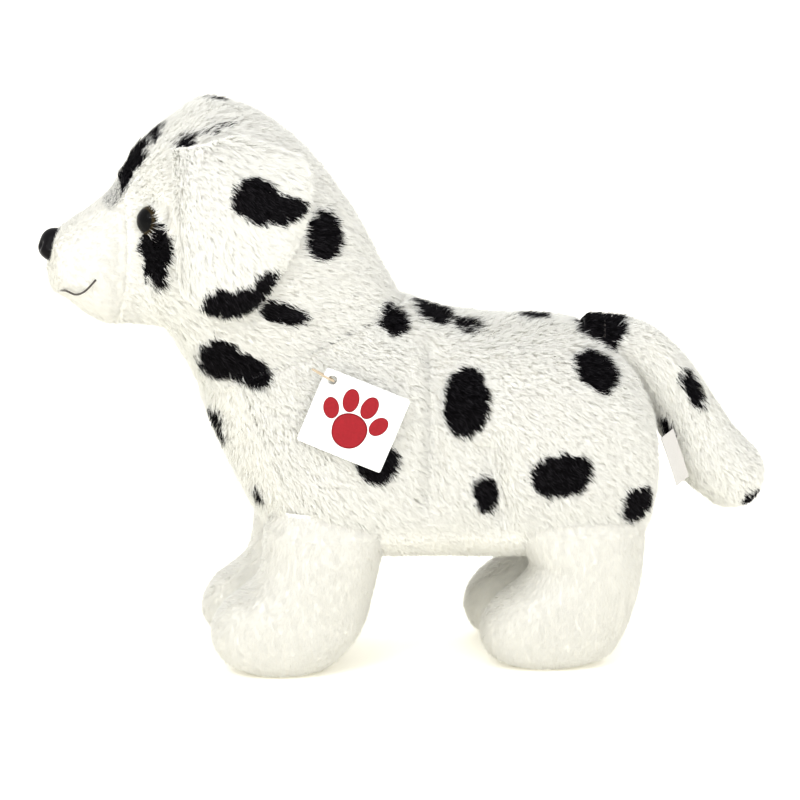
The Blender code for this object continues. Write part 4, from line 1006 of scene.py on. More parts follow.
def head_grid():
    """Head and muzzle as one grid of cloth, with a row of points on the muzzle's seam."""
    settings = bpy.context.scene.plush_pile
    a = np.linspace(0.0, 2.0 * PI, 193)
    seam = seam_section(a)[None]
    behind = np.linspace(0.0, 1.0, 111)[:, None] ** 0.9 * seam
    ahead = seam + np.linspace(0.0, 1.0, 61)[1:, None] * (WHOLE_LAST - seam)
    t = np.concatenate([behind, ahead])
    a = np.broadcast_to(a, t.shape)
    points = whole_head(t, a)
    outward = facing_out(points, grid_normals(points, closed=True))
    outward[-1] = (-1.0, 0.0, 0.0)
    short = smoothstep(-1.3, 0.15, t - seam)
    inset = (3.9 - 2.3 * short) * MM
    groove = 0.7 * MM * bell(t - seam, 0.16)
    fold = np.minimum(a, 2.0 * PI - a)
    groove = groove + 0.35 * MM * bell((fold - GUSSET_SEAM) * 44.0 * MM, 1.4 * MM) * (1.0 - short)
    relief = 0.35 * MM * ripple(points, 34.0 * MM, 41) * (1.0 - 0.6 * short)
    points = points + outward * (relief - inset - groove)[..., None]
    for side in (LEFT, RIGHT):
        place, axis = eye_seat(side)
        offset = points - place
        deep = offset @ axis
        wide = np.linalg.norm(offset - deep[..., None] * axis, axis=-1)
        sink = np.where(np.abs(deep) < 14.0 * MM, smoothstep(9.5 * MM, 5.4 * MM, wide), 0.0)
        points = points - axis * (sink * np.maximum(deep + 1.0 * MM, 0.0))[..., None]
    outward = facing_out(points, grid_normals(points, closed=True))
    outward[-1] = (-1.0, 0.0, 0.0)
    nose_tip = whole_head(np.array([WHOLE_LAST]), np.array([0.0]))[0]
    comb = unit(unit(points - nose_tip) * (1.0, 0.1, 0.5) + (0.3, 0.0, -0.4))
    comb = comb * (1.0 + 0.4 * smoothstep(0.0, 0.5, -outward[..., :1]))
    length = settings.long_pile + (settings.short_pile * 0.9 - settings.long_pile) * short
    for side in (LEFT, RIGHT):
        place, axis = eye_seat(side)
        away = points - place
        away = away - (away @ axis)[..., None] * axis
        wide = np.linalg.norm(points - place, axis=-1)
        behind_eye = smoothstep(-0.15, 0.35, unit(away)[..., 0])
        turned_back = behind_eye * smoothstep(12.5 * MM, 9.0 * MM, wide)
        toward = -1.3 * unit(away) + (0.0, 0.0, -0.25)
        comb = comb + (toward - comb) * turned_back[..., None]
        bare = (7.2 - 2.0 * behind_eye) * MM
        kept = 0.5 + np.maximum(0.5 * smoothstep(7.4 * MM, 11.0 * MM, wide), 0.7 * turned_back)
        length = length * np.where(wide < bare, 0.0, kept)
    return points, outward, comb, length, behind.shape[0]


class PLUSHDOG_OT_head(bpy.types.Operator):
    """Makes the head's panels and gusset, the muzzle's cover and their pile."""

    bl_idname = "plushdog.head"
    bl_label = "Head"

    def execute(self, context):
        settings = context.scene.plush_pile
        points, outward, comb, length, rows = head_grid()
        black = dyed(points, BODY_SPOTS)
        gusset = int(round(GUSSET_SEAM / (2.0 * PI) * 192))
        panels = (
            ("head_left", slice(gusset, 97), "head_left_panel"),
            ("head_right", slice(96, 193 - gusset), "head_right_panel"),
        )
        back = slice(0, rows)
        for index, (name, columns, node) in enumerate(panels):
            self.panel(name, (back, columns), points, outward, comb, length, black, node, 300 + index)
        roll = (back, np.r_[192 - gusset:192, 0:gusset + 1])
        strip = tuple(g[roll[0]][:, roll[1]] for g in (points, outward, comb, length, black))
        self.panel("head_gusset", (slice(None), slice(None)), *strip, "head_gusset", 310)

        front = (slice(rows - 1, None), slice(None))
        backing = cloth("muzzle_cloth", points[front], outward[front], 1.0 * MM, finish_of("backing_cloth"),
                        skin_dye_and_shade(black[front]))
        settle(backing, "head", ["muzzle_cover"])
        strands = pile("muzzle_pile", points[front], outward[front], comb[front], length[front],
                       lambda roots: 0.0 * roots[:, 0], finish_of("short_pile_fibre"),
                       per_mm2=settings.short_strands * 1.2, width=settings.short_width, seed=320, bent=False,
                       limit=61000)
        settle(strands, "head")
        return {"FINISHED"}

    def panel(self, name, part, points, outward, comb, length, black, node, seed):
        settings = bpy.context.scene.plush_pile
        backing = cloth(name + "_cloth", points[part], outward[part], 1.0 * MM, finish_of("backing_cloth"),
                        skin_dye_and_shade(black[part]))
        settle(backing, nodes=[node], across=NECK_BEND)
        strands = pile(name + "_pile", points[part], outward[part], comb[part], length[part],
                       lambda roots: dyed(roots, BODY_SPOTS), finish_of("long_pile_fibre"),
                       per_mm2=settings.long_strands * 1.1, width=settings.long_width, seed=seed)
        settle(strands, across=NECK_BEND)


# ---------------------------------------------------------------- ears


def head_half_width(x, z):
    """The head's outer half width beside the places x and z, averaged from its nearest points."""
    t, a = np.meshgrid(np.linspace(0.5, HEAD_LAST + 1.0, 60), np.linspace(0.12, 0.95, 40) * PI, indexing="ij")
    points = whole_head(t, a).reshape(-1, 3)
    away = (x[..., None] - points[:, 0]) ** 2 + (z[..., None] - points[:, 2]) ** 2
    weight = 1.0 / (away + (1.2 * MM) ** 2) ** 3
    return (weight * -points[:, 1]).sum(axis=-1) / weight.sum(axis=-1)


def ear_sheet(across, down):
    """The ear's inner side: straight lines from the root to the free edge, as far out as the
    widest part of the head above."""
    edge = smooth_rows(EAR_EDGE, across * (len(EAR_EDGE) - 1.0))
    front, rear = np.array(EAR_ROOT)
    root = front * (1.0 - across)[:, None] + rear * across[:, None]
    share = down[:, None, None]
    flat = root[None] * (1.0 - share) + edge[None] * share
    x, z = flat[..., 0] * X_SCALE, flat[..., 1] * Z_SCALE
    out = np.maximum.accumulate(head_half_width(x, z), axis=0) + 1.6 * MM
    return x, out, z


class PLUSHDOG_OT_ears(bpy.types.Operator):
    """Makes each ear's outer layer and lining with their pile."""

    bl_idname = "plushdog.ears"
    bl_label = "Ears"

    def execute(self, context):
        settings = context.scene.plush_pile
        across, down = np.linspace(0.0, 1.0, 70), np.linspace(0.0, 0.955, 60)
        x, out, z = ear_sheet(0.035 + 0.93 * across, down)
        swell = (np.sin(PI * np.clip(down * 1.02, 0.0, 1.0))[:, None] ** 0.5
                 * np.sin(PI * (0.03 + 0.94 * across))[None] ** 0.5)
        for index, (name, side, spots) in enumerate((("left_ear", LEFT, LEFT_EAR_SPOTS),
                                                     ("right_ear", RIGHT, RIGHT_EAR_SPOTS))):
            inner = np.stack([x, side * (out + 0.2 * MM + 0.8 * swell * MM), z], axis=-1)
            middle = np.stack([x, side * (out + (0.4 + 1.2 * swell) * MM), z], axis=-1)
            outer = np.stack([x, side * (out + (0.7 + 3.0 * swell) * MM), z], axis=-1)
            root = 0.5 * (middle[0, 0] + middle[0, -1])
            bend = ("head", name, tuple(root + (0.0, 0.0, 1.0 * MM)), tuple(root - (0.0, 0.0, 9.0 * MM)))
            down_ear = np.gradient(outer, axis=0)
            for part, grid, sign, thick, long, node in (
                ("outer", outer, 1.0, 1.0, True, f"{name}_outer"),
                ("lining", inner, -1.0, 0.5, False, f"{name}_lining"),
            ):
                outward = grid_normals(grid)
                outward *= np.sign(np.median(outward[..., 1]) * side * sign)
                black = dyed(grid, spots) if long else np.zeros(grid.shape[:2])
                backing = cloth(f"{name}_{part}_cloth", grid, outward, thick * MM, finish_of("backing_cloth"),
                                skin_dye_and_shade(black))
                settle(backing, nodes=[node], across=bend)
                reach = (settings.long_pile if long else settings.short_pile * 0.8) + 0.0 * x
                rim = np.minimum(np.minimum(across, 1.0 - across)[None] * 9.0, (0.96 - down)[:, None] * 9.0)
                combed = unit(down_ear) + (0.35, 0.0, 0.0)
                away = unit(grid - grid[len(grid) // 2, grid.shape[1] // 2]) * (1.0, 0.0, 1.0)
                tipped = unit(outward + away * (0.9 * (1.0 - np.clip(rim, 0.0, 1.0)))[..., None])
                strands = pile(f"{name}_{part}_pile", grid, tipped, combed, reach,
                               (lambda roots, s=spots: dyed(roots, s)) if long else (lambda roots: 0.0 * roots[:, 0]),
                               finish_of("long_pile_fibre" if long else "short_pile_fibre"),
                               per_mm2=settings.long_strands * (2.0 if long else 1.0),
                               width=settings.long_width if long else settings.short_width,
                               seed=400 + 10 * index + long)
                settle(strands, across=bend)
        return {"FINISHED"}


# ---------------------------------------------------------------- tail


class PLUSHDOG_OT_tail(bpy.types.Operator):
    """Makes the tail's two cloth halves and their pile."""

    bl_idname = "plushdog.tail"
    bl_label = "Tail"

    def execute(self, context):
        settings = context.scene.plush_pile
        a = np.linspace(0.0, 2.0 * PI, 97)
        centre, radius, run, up = tail_frame(np.linspace(0.0, 6.0, 90))
        centre = centre - run * (9.0 * MM * smoothstep(0.8, 0.0, np.linspace(0.0, 6.0, 90)))[:, None]
        turn = np.linspace(0.0, 0.5 * PI, 17)[1:]
        inset = 3.9 * MM
        tip_centre = centre[-1] + run[-1] * (radius[-1] - inset) * np.sin(turn)[:, None]
        tip_radius = (radius[-1] - inset) * np.cos(turn)
        centre = np.concatenate([centre, tip_centre])
        radius = np.concatenate([radius - inset, tip_radius])
        run = np.concatenate([run, np.repeat(run[-1:], len(turn), axis=0)])
        up = np.concatenate([up, np.repeat(up[-1:], len(turn), axis=0)])
        ring = up[:, None] * np.cos(a)[None, :, None] + np.array([0.0, LEFT, 0.0]) * np.sin(a)[None, :, None]
        points = centre[:, None] + ring * radius[:, None, None]
        outward = unit(ring + run[:, None] * np.concatenate([np.zeros(90), np.tan(np.minimum(turn, 1.5))])[:, None, None])
        points = points + outward * (0.4 * MM * ripple(points, 24.0 * MM, 51))[..., None]
        comb = np.broadcast_to(run[:, None], points.shape) + (0.0, 0.0, -0.25)
        length = settings.long_pile + 0.0 * points[..., 0]
        black = dyed(points, TAIL_SPOTS)
        bend = ("tail_base", "tail", tuple(centre[0] - run[0] * 1.0 * MM), tuple(centre[0] + run[0] * 14.0 * MM))
        for index, (name, columns) in enumerate((("tail_left", slice(0, 49)), ("tail_right", slice(48, 97)))):
            part = (slice(None), columns)
            backing = cloth(name + "_cloth", points[part], outward[part], 1.0 * MM, finish_of("backing_cloth"),
                            skin_dye_and_shade(black[part]))
            settle(backing, nodes=[name + "_panel"], across=bend)
            strands = pile(name + "_pile", points[part], outward[part], comb[part], length[part],
                           lambda roots: dyed(roots, TAIL_SPOTS), finish_of("long_pile_fibre"),
                           per_mm2=settings.long_strands * 1.2, width=settings.long_width, seed=500 + index)
            settle(strands, across=bend)
        return {"FINISHED"}


# ---------------------------------------------------------------- eyes, nose and mouth


def turned(name, radius, height, place, axis, material, colours=None, steps=96):
    """A solid turned about axis through place: rings of the radii at the heights along it."""
    axis = unit(np.array(axis))
    side = unit(np.cross(axis, (0.0, 0.0, 1.0)))
    other = np.cross(axis, side)
    angle = np.linspace(0.0, 2.0 * PI, steps, endpoint=False)
    ring = side * np.cos(angle)[:, None] + other * np.sin(angle)[:, None]
    points = place + axis * np.array(height)[:, None, None] + ring * np.array(radius)[:, None, None]
    index = np.arange(len(radius) * steps).reshape(-1, steps)
    across = np.roll(index, -1, axis=1)
    body = np.stack([index[:-1], across[:-1], across[1:], index[1:]], axis=-1).reshape(-1, 4)
    fan = np.stack([index[0], across[0], np.full(steps, index.size)], axis=-1)
    foot = np.stack([across[-1], index[-1], np.full(steps, index.size + 1)], axis=-1)
    ends = np.stack([place + axis * height[0], place + axis * height[-1]])
    dyes = None
    if colours is not None:
        dyes = np.concatenate([np.repeat(colours, steps, axis=0), colours[:1], colours[-1:]])
    faces = [body[:, ::-1], fan, foot]
    return new_mesh(name, np.concatenate([points.reshape(-1, 3), ends]), faces, material, dyes, sharp=60.0)


class PLUSHDOG_OT_eyes(bpy.types.Operator):
    """Makes the two safety eyes: a clear-faced dome with a dark iris rim round a black pupil."""

    bl_idname = "plushdog.eyes"
    bl_label = "Eyes"

    def execute(self, context):
        dyes = context.scene.plush_dyes
        bend = np.linspace(0.02, 0.5 * PI, 28)
        radius = np.concatenate([6.0 * np.sin(bend), [6.15, 6.15, 5.8, 2.0, 2.0]]) * MM
        height = np.concatenate([5.2 * np.cos(bend), [0.0, -0.5, -0.8, -0.8, -12.0]]) * MM
        share = np.clip((radius / MM - 4.5) / 0.25, 0.0, 1.0)[:, None]
        edge = np.clip((radius / MM - 5.75) / 0.15, 0.0, 1.0)[:, None]
        black = np.array([0.004, 0.004, 0.004])
        colours = black + (np.array(dyes.iris) - black) * share * (1.0 - 0.8 * edge)
        colours[28:] = black
        for name, side in (("left_eye", LEFT), ("right_eye", RIGHT)):
            place, axis = eye_seat(side)
            eye = turned(name + "_dome", radius, height, place, axis, eye_finish(), colours)
            settle(eye, "head", [name])
        return {"FINISHED"}


def eye_finish():
    """Glossy eye plastic in its ring colours, with streaks of noise in the iris."""
    found = bpy.data.materials.get("eye_plastic")
    if found:
        return found
    material, link, shader, add = nodes_of("eye_plastic")
    dye = add("ShaderNodeAttribute", attribute_name="DyeAndShade")
    place = add("ShaderNodeTexCoord")
    noise = add("ShaderNodeTexNoise", Scale=1400.0, Detail=2.0)
    link(place.outputs["Object"], noise.inputs["Vector"])
    tint = add("ShaderNodeMix", data_type="RGBA", blend_type="MULTIPLY")
    tint.inputs["Factor"].default_value = 0.6
    link(dye.outputs["Color"], tint.inputs["A"])
    link(noise.outputs["Fac"], tint.inputs["B"])
    link(tint.outputs["Result"], shader.inputs["Base Color"])
    shader.inputs["Roughness"].default_value = 0.08
    shader.inputs["Specular IOR Level"].default_value = 0.06
    return material


def nose_frame():
    """The nose's seat and its directions across, up and out."""
    place = head_place(WHOLE_LAST - 0.62, 0.0)[0]
    tilt = math.radians(18.0)
    out = np.array([-math.cos(tilt), 0.0, math.sin(tilt)])
    up = np.array([math.sin(tilt), 0.0, math.cos(tilt)])
    return place - out * 3.6 * MM, np.cross(up, out), up, out


class PLUSHDOG_OT_nose(bpy.types.Operator):
    """Makes the safety nose: a rounded triangle, point down, domed to the front, with a groove
    down the lower middle and a hollow for each nostril."""

    bl_idname = "plushdog.nose"
    bl_label = "Nose"

    def execute(self, context):
        place, across, up, out = nose_frame()
        bend, angle = np.meshgrid(np.linspace(0.0, 0.5 * PI, 44), np.linspace(0.0, 2.0 * PI, 97), indexing="ij")
        reach = 1.0 / (1.0 + 0.13 * np.cos(3.0 * (angle + 0.5 * PI)))
        size = np.maximum(np.cos(bend), 0.0) ** 0.7
        u, v = size * 7.5 * reach * np.cos(angle), size * 6.75 * reach * np.sin(angle)
        w = 7.0 * np.sin(bend)
        for side in (-1.0, 1.0):
            w = w - 1.1 * np.exp(-(((u - side * 3.4) / 1.3) ** 2 + ((v + 0.6) / 1.9) ** 2))
        w = w - 0.35 * np.exp(-((u / 0.6) ** 2)) * smoothstep(2.5, -1.5, v) * np.sin(bend)
        points = place + (u[..., None] * across + v[..., None] * up + w[..., None] * out) * MM
        skirt = place + (u[:1, :, None] * across + v[:1, :, None] * up - 0.8 * out) * MM
        shank_u, shank_v = 2.0 * np.cos(angle[:1]), 2.0 * np.sin(angle[:1])
        neck = place + (shank_u[..., None] * across + shank_v[..., None] * up - 0.8 * out) * MM
        foot = place + (shank_u[..., None] * across + shank_v[..., None] * up - 12.0 * out) * MM
        end = place + (0.001 * shank_u[..., None] * across + 0.001 * shank_v[..., None] * up - 12.0 * out) * MM
        grid = np.concatenate([end, foot, neck, skirt, points])
        rows, columns = grid.shape[:2]
        faces = quads(rows, columns)
        nose = new_mesh("nose_dome", grid, [faces], finish_of("black_safety_plastic"), sharp=50.0)
        tidy(nose)
        settle(nose, "head", ["nose"])
        return {"FINISHED"}


def tidy(obj):
    """Joins doubled points and turns the faces outwards."""
    work = bmesh.new()
    work.from_mesh(obj.data)
    bmesh.ops.remove_doubles(work, verts=work.verts, dist=0.02 * MM)
    bmesh.ops.recalc_face_normals(work, faces=work.faces)
    work.to_mesh(obj.data)
    work.free()


def tube(name, line, radius, material, sides=14, ply=0, ring=False, turns=0.0):
    """A round cord along a line of points; with plies, its radius swells and twists along it."""
    run = np.roll(line, -1, axis=0) - np.roll(line, 1, axis=0) if ring else np.gradient(line, axis=0)
    run = unit(run)
    side = unit(np.cross(run, (0.31, 0.27, 0.91)))
    other = np.cross(run, side)
    angle = np.linspace(0.0, 2.0 * PI, sides, endpoint=False)
    twist = np.linspace(0.0, turns * 2.0 * PI, len(line))[:, None]
    swell = 1.0 + (0.16 * np.cos(ply * (angle[None] - twist)) if ply else 0.0 * angle[None])
    rings = (line[:, None] + side[:, None] * (np.cos(angle)[None] * swell * radius)[..., None]
             + other[:, None] * (np.sin(angle)[None] * swell * radius)[..., None])
    index = np.arange(rings.shape[0] * sides).reshape(-1, sides)
    below = np.roll(index, -1, axis=0) if ring else index[1:]
    above = index if ring else index[:-1]
    body = np.stack([above, np.roll(above, -1, axis=1), np.roll(below, -1, axis=1), below], -1).reshape(-1, 4)
    faces = [body] if ring else [body, index[0][None], index[-1][None, ::-1]]
    obj = new_mesh(name, rings, faces, material)
    tidy(obj)
    return obj


class PLUSHDOG_OT_mouth(bpy.types.Operator):
    """Makes the mouth: one stitched thread sunk in the pile round the muzzle."""

    bl_idname = "plushdog.mouth"
    bl_label = "Mouth"

    def execute(self, context):
        share = np.linspace(-1.0, 1.0, 181)
        behind, turn = np.moveaxis(smooth_rows(MOUTH_LINE, np.abs(share) * (len(MOUTH_LINE) - 1.0)), -1, 0)
        angle = PI + PI * (turn - 1.0) * np.sign(share)
        places = [head_place(*pair) for pair in zip(WHOLE_LAST - behind, angle)]
        lift = 0.1 - 1.9 * smoothstep(0.42, 0.2, np.abs(share))
        line = np.stack([place + normal * high * MM for (place, normal), high in zip(places, lift)])
        mouth = tube("mouth_line", line, 0.4 * MM, finish_of("mouth_thread"), ply=2, turns=45.0)
        settle(mouth, "head", ["mouth_stitch"])
        return {"FINISHED"}


# ---------------------------------------------------------------- tag and label


TAG_TILT = math.radians(23.0)
TAG_OPENING = math.radians(4.0)
TAG_WIDTH = 36.0 * MM
TAG_HEIGHT = 31.5 * MM
TAG_CARD = 0.6 * MM
TAG_GAP = 0.3 * MM
TAG_HOLE = 4.0 * MM
TAG_ALONG = np.array([math.cos(TAG_TILT), 0.0, -math.sin(TAG_TILT)])
TAG_DOWN = np.array([-math.sin(TAG_TILT), 0.0, -math.cos(TAG_TILT)])
TAG_OUT = np.array([0.0, LEFT, 0.0])
TAG_CORNER = np.array([-37.3 * X_SCALE, -(0.5 * TORSO_WIDTH + 1.6 * MM), 129.3 * Z_SCALE])


def card_leaf(name, along, out, lift, material):
    """A card with rounded corners, a round hole by its fold and softened faces: rings of points
    that go from the hole's outline to the card's, on both faces."""
    angle = np.linspace(0.0, 2.0 * PI, 160, endpoint=False)
    half = np.array([0.5 * TAG_WIDTH, 0.5 * TAG_HEIGHT])
    corner = 1.2 * MM
    way = np.stack([np.cos(angle), np.sin(angle)], axis=-1)
    box = np.clip(way * 2.0 * half.max(), -(half - corner), half - corner)
    outline = half + box + way * corner
    hole = np.array([TAG_HOLE, TAG_HOLE]) + way * 1.9 * MM
    share = np.concatenate([[0.0], np.linspace(0.02, 0.985, 12), [1.0]])[:, None, None]
    flat = hole[None] * (1.0 - share) + outline[None] * share
    soft = np.full(len(share), 0.5 * TAG_CARD)
    soft[[0, -1]] = 0.3 * TAG_CARD
    centre = lift + 0.5 * TAG_CARD
    place = TAG_CORNER + flat[..., :1] * along + flat[..., 1:] * TAG_DOWN
    high = place + out * (centre + soft)[:, None, None]
    low = place + out * (centre - soft)[:, None, None]
    grid = np.concatenate([high, low[::-1], high[:1]])
    grid = np.concatenate([grid, grid[:, :1]], axis=1)
    leaf = new_mesh(name, grid, [quads(*grid.shape[:2])], material, sharp=40.0)
    tidy(leaf)
    return leaf


def paw_print(along, out, lift):
    """A printed paw: one wide pad and four toes, each a very low closed dome on the card, as high
    as one less its share of the way out to the fourth power."""
    dots = ((0.0, 4.2, 8.0, 6.4, 0.0), (-10.2, -2.4, 3.2, 4.4, -28.0), (-4.0, -8.0, 3.3, 4.8, -9.0),
            (4.0, -8.0, 3.3, 4.8, 9.0), (10.2, -2.4, 3.2, 4.4, 28.0))
    grids = []
    for x, y, wide, tall, tilt in dots:
        out_share = np.concatenate([np.linspace(0.0, 1.0, 9), np.linspace(0.98, 0.0, 3)])
        s, a = np.meshgrid(out_share, np.linspace(0.0, 2.0 * PI, 49), indexing="ij")
        dip = 1.0 - (0.12 * np.cos(2.0 * a) + 0.1 * np.sin(a)) * (wide > 4.0)
        u, v = s * wide * dip * np.cos(a), s * tall * dip * np.sin(a)
        turn = math.radians(tilt)
        p = x + u * math.cos(turn) - v * math.sin(turn)
        q = y + u * math.sin(turn) + v * math.cos(turn)
        rise = 0.06 * MM * (1.0 - s**4) * (np.arange(12) < 9)[:, None]
        grids.append(TAG_CORNER + (0.5 * TAG_WIDTH + p[..., None] * MM) * along
                     + (0.5 * TAG_HEIGHT + 1.0 * MM + q[..., None] * MM) * TAG_DOWN + (lift + rise)[..., None] * out)
    points = np.concatenate([g.reshape(-1, 3) for g in grids])
    faces = [quads(12, 49, index * 12 * 49) for index in range(len(grids))]
    motif = new_mesh("tag_paw_print", points, faces, finish_of("tag_ink"))
    tidy(motif)
    return motif


class PLUSHDOG_OT_tag(bpy.types.Operator):
    """Makes the folded swing tag, its printed paw and its loop of thread."""

    bl_idname = "plushdog.tag"
    bl_label = "Swing tag"

    def execute(self, context):
        card = finish_of("tag_card")
        opened = TAG_ALONG * math.cos(TAG_OPENING) + TAG_OUT * math.sin(TAG_OPENING)
        lifted = TAG_OUT * math.cos(TAG_OPENING) - TAG_ALONG * math.sin(TAG_OPENING)
        settle(card_leaf("tag_back_card", TAG_ALONG, TAG_OUT, 0.0, card), "tag", ["tag_back_leaf"])
        front = card_leaf("tag_front_card", opened, lifted, TAG_CARD + TAG_GAP, card)
        settle(front, "tag_leaf", ["tag_front_leaf"])
        settle(paw_print(opened, lifted, 2.0 * TAG_CARD + TAG_GAP + 0.01 * MM), "tag_leaf")

        hole = TAG_CORNER + (TAG_ALONG + TAG_DOWN) * TAG_HOLE
        anchor = hole - TAG_ALONG * 9.0 * MM - TAG_DOWN * 1.0 * MM + TAG_OUT * 0.5 * MM
        lift = TAG_OUT * (2.0 * TAG_CARD + 1.85 * MM)
        back = TAG_OUT * -1.05 * MM
        middle = 0.5 * (hole + anchor)
        route = np.array([anchor + TAG_OUT * 0.2 * MM, middle + lift, hole + lift, hole + 0.3 * lift + 0.3 * back,
                          hole + back, middle + 0.8 * back])
        route = np.concatenate([route, route[:1], route[1:2]])
        line = smooth_rows(route, np.linspace(0.0, 6.0, 121)[:-1])
        thread = tube("tag_loop", line, 0.42 * MM, finish_of("tag_thread"), ply=2, turns=24.0, ring=True)
        settle(thread, "tag", ["tag_thread"])
        return {"FINISHED"}


class PLUSHDOG_OT_label(bpy.types.Operator):
    """Makes the care label: a plain woven ribbon folded double, sewn in beside the tail."""

    bl_idname = "plushdog.label"
    bl_label = "Care label"

    def execute(self, context):
        place = np.array([101.1 * X_SCALE, -25.14 * MM, 92.5 * Z_SCALE])
        down, across = np.array([0.32, 0.0, -0.947]), np.array([0.609, 0.766, 0.206])
        length, width = 21.0 * MM, 10.4 * MM
        s, w = np.meshgrid(np.linspace(0.0, 1.0, 60), np.linspace(0.0, 1.0, 31), indexing="ij")
        sag = 1.2 * np.sin(PI * s) + 0.35 * np.sin(2.0 * PI * w + 1.0) * s + 0.1
        points = (place + down * (s * length)[..., None] + across * (w * width)[..., None]
                  + np.array([0.0, LEFT, 0.0]) * (sag * MM)[..., None])
        outward = grid_normals(points)
        outward *= -np.sign(np.median(outward[..., 1]))
        colours = np.ones(points.shape) * 0.9
        label = cloth("care_ribbon", points + outward * 0.45 * MM, outward, 0.35 * MM, finish_of("label_ribbon"), colours)
        settle(label, "care_label", ["care_label"])
        return {"FINISHED"}


class PLUSHDOG_OT_inside(bpy.types.Operator):
    """Gives the stuffing, the washers and the closing stitches their finishes."""

    bl_idname = "plushdog.inside"
    bl_label = "Inside"

    def execute(self, context):
        finishes = {"_stuffing": "loose_stuffing", "_washer": "natural_washer_plastic", "_stitching": "mouth_thread"}
        for ending, finish in finishes.items():
            for name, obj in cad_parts.items():
                if name.endswith(ending):
                    for spot in obj.material_slots:
                        spot.material = finish_of(finish)
        return {"FINISHED"}


# ---------------------------------------------------------------- stage


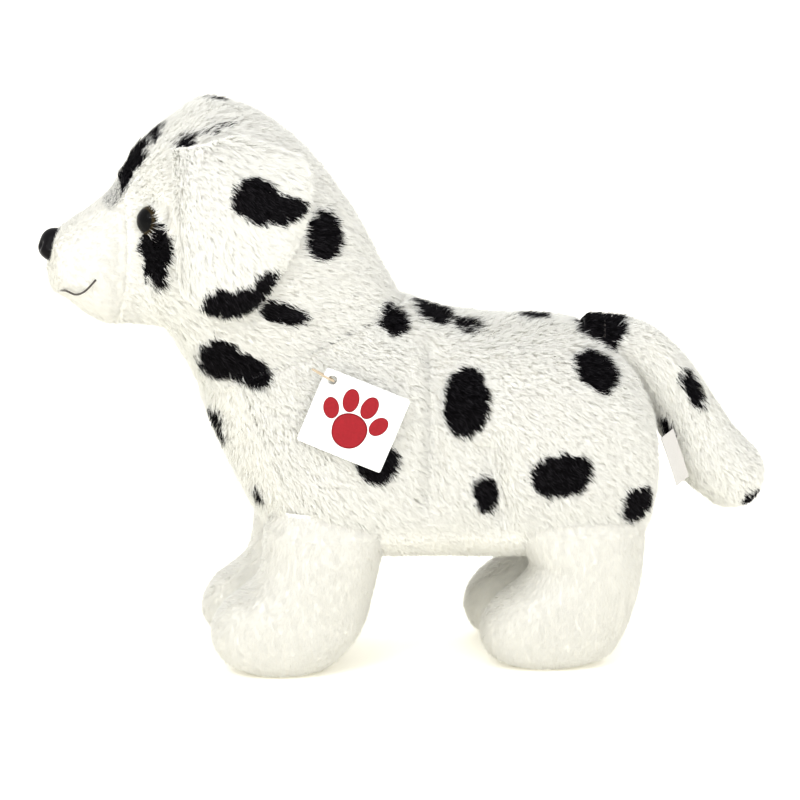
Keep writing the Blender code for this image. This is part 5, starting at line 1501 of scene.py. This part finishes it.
class PLUSHDOG_OT_stage(bpy.types.Operator):
    """Makes the floor, the camera and the lights."""

    bl_idname = "plushdog.stage"
    bl_label = "Stage"

    def execute(self, context):
        stage = context.scene.plush_stage
        self.floor(stage)
        self.camera(context, stage)
        self.light("key_light", (-0.55, -0.75, 0.95), 0.9, stage.key)
        self.light("fill_light", (0.15, -1.5, 0.25), 1.2, stage.fill)
        self.light("back_light", (0.2, 0.9, 0.8), 0.9, 0.5 * stage.key)
        self.light("catch_light", (-0.5, -0.9, 0.75), 0.07, 1.6)
        world = context.scene.world or bpy.data.worlds.new("Room")
        context.scene.world = world
        world.use_nodes = True
        background = world.node_tree.nodes["Background"]
        background.inputs["Color"].default_value = (1.0, 1.0, 1.0, 1.0)
        background.inputs["Strength"].default_value = stage.sky
        context.scene.view_settings.view_transform = "Standard"
        return {"FINISHED"}

    def floor(self, stage):
        """A wide flat disc, faintly mottled, with a painted warm glow: it gives off a little light of its own, though
        it is no lamp, which lifts its shadows.
        """
        s, a = np.meshgrid(np.linspace(0.0, 1.0, 40) ** 2, np.linspace(0.0, 2.0 * PI, 65), indexing="ij")
        points = np.stack([40.0 * s * np.cos(a), 40.0 * s * np.sin(a), -0.0002 + 0.0 * s], axis=-1)
        material, link, shader, add = nodes_of("pale_floor")
        place = add("ShaderNodeTexCoord")
        noise = add("ShaderNodeTexNoise", Scale=3.0)
        link(place.outputs["Object"], noise.inputs["Vector"])
        tone = add("ShaderNodeMix", data_type="RGBA")
        tone.inputs["A"].default_value = (*stage.floor, 1.0)
        tone.inputs["B"].default_value = (*(0.99 * c for c in stage.floor), 1.0)
        link(noise.outputs["Fac"], tone.inputs["Factor"])
        link(tone.outputs["Result"], shader.inputs["Base Color"])
        shader.inputs["Roughness"].default_value = 0.8
        # Painted light: a warm glow from the floor itself lifts its shadows and warms the dog's underside.
        shader.inputs["Emission Color"].default_value = (1.0, 0.95, 0.74, 1.0)
        shader.inputs["Emission Strength"].default_value = stage.glow
        floor = new_mesh("floor", points, [quads(40, 65)], material)

    def camera(self, context, stage):
        """A long lens on the dog's left side, a little above it and to the front."""
        centre = Vector((-2.52 * MM, 0.0, 0.455 * (CAD_HIGH.z - CAD_LOW.z)))
        back = Vector((math.sin(stage.azimuth) * math.cos(stage.elevation),
                       -math.cos(stage.azimuth) * math.cos(stage.elevation), math.sin(stage.elevation)))
        data = bpy.data.cameras.new("camera")
        data.lens = stage.lens
        camera = bpy.data.objects.new("camera", data)
        camera.location = centre + back * stage.distance
        camera.rotation_mode = "QUATERNION"
        camera.rotation_quaternion = (-back).to_track_quat("-Z", "Y")
        context.scene.collection.objects.link(camera)
        context.scene.camera = camera

    def light(self, name, place, size, power):
        """A round soft light that looks at the dog's middle."""
        data = bpy.data.lights.new(name, "AREA")
        data.shape = "DISK"
        data.size = size
        data.energy = power
        light = bpy.data.objects.new(name, data)
        light.location = place
        light.rotation_mode = "QUATERNION"
        light.rotation_quaternion = (Vector((0.0, 0.0, 0.1)) - Vector(place)).to_track_quat("-Z", "Y")
        bpy.context.scene.collection.objects.link(light)


OPERATORS = (
    PLUSHDOG_OT_stage,
    PLUSHDOG_OT_torso,
    PLUSHDOG_OT_legs,
    PLUSHDOG_OT_head,
    PLUSHDOG_OT_ears,
    PLUSHDOG_OT_tail,
    PLUSHDOG_OT_eyes,
    PLUSHDOG_OT_nose,
    PLUSHDOG_OT_mouth,
    PLUSHDOG_OT_tag,
    PLUSHDOG_OT_label,
    PLUSHDOG_OT_inside,
)
SETTINGS = (("plush_pile", PlushPile), ("plush_dyes", PlushDyes), ("plush_stage", PlushStage))


class PLUSHDOG_PT_panel(bpy.types.Panel):
    """Lists the dog's pieces and settings."""

    bl_label = "Plush Dog"
    bl_idname = "PLUSHDOG_PT_panel"
    bl_space_type = "VIEW_3D"
    bl_region_type = "UI"
    bl_category = "Plush Dog"

    def draw(self, context):
        for name, group in SETTINGS:
            box = self.layout.box()
            for prop in group.__annotations__:
                box.prop(getattr(context.scene, name), prop)
        for operator in OPERATORS:
            self.layout.operator(operator.bl_idname)


def register():
    for name, group in SETTINGS:
        bpy.utils.register_class(group)
        setattr(bpy.types.Scene, name, PointerProperty(type=group))
    for operator in OPERATORS:
        bpy.utils.register_class(operator)
    bpy.utils.register_class(PLUSHDOG_PT_panel)


def unregister():
    bpy.utils.unregister_class(PLUSHDOG_PT_panel)
    for operator in reversed(OPERATORS):
        bpy.utils.unregister_class(operator)
    for name, group in reversed(SETTINGS):
        delattr(bpy.types.Scene, name)
        bpy.utils.unregister_class(group)


def main():
    register()
    for operator in OPERATORS:
        group, name = operator.bl_idname.split(".")
        getattr(getattr(bpy.ops, group), name)()


if __name__ == "__main__":
    main()
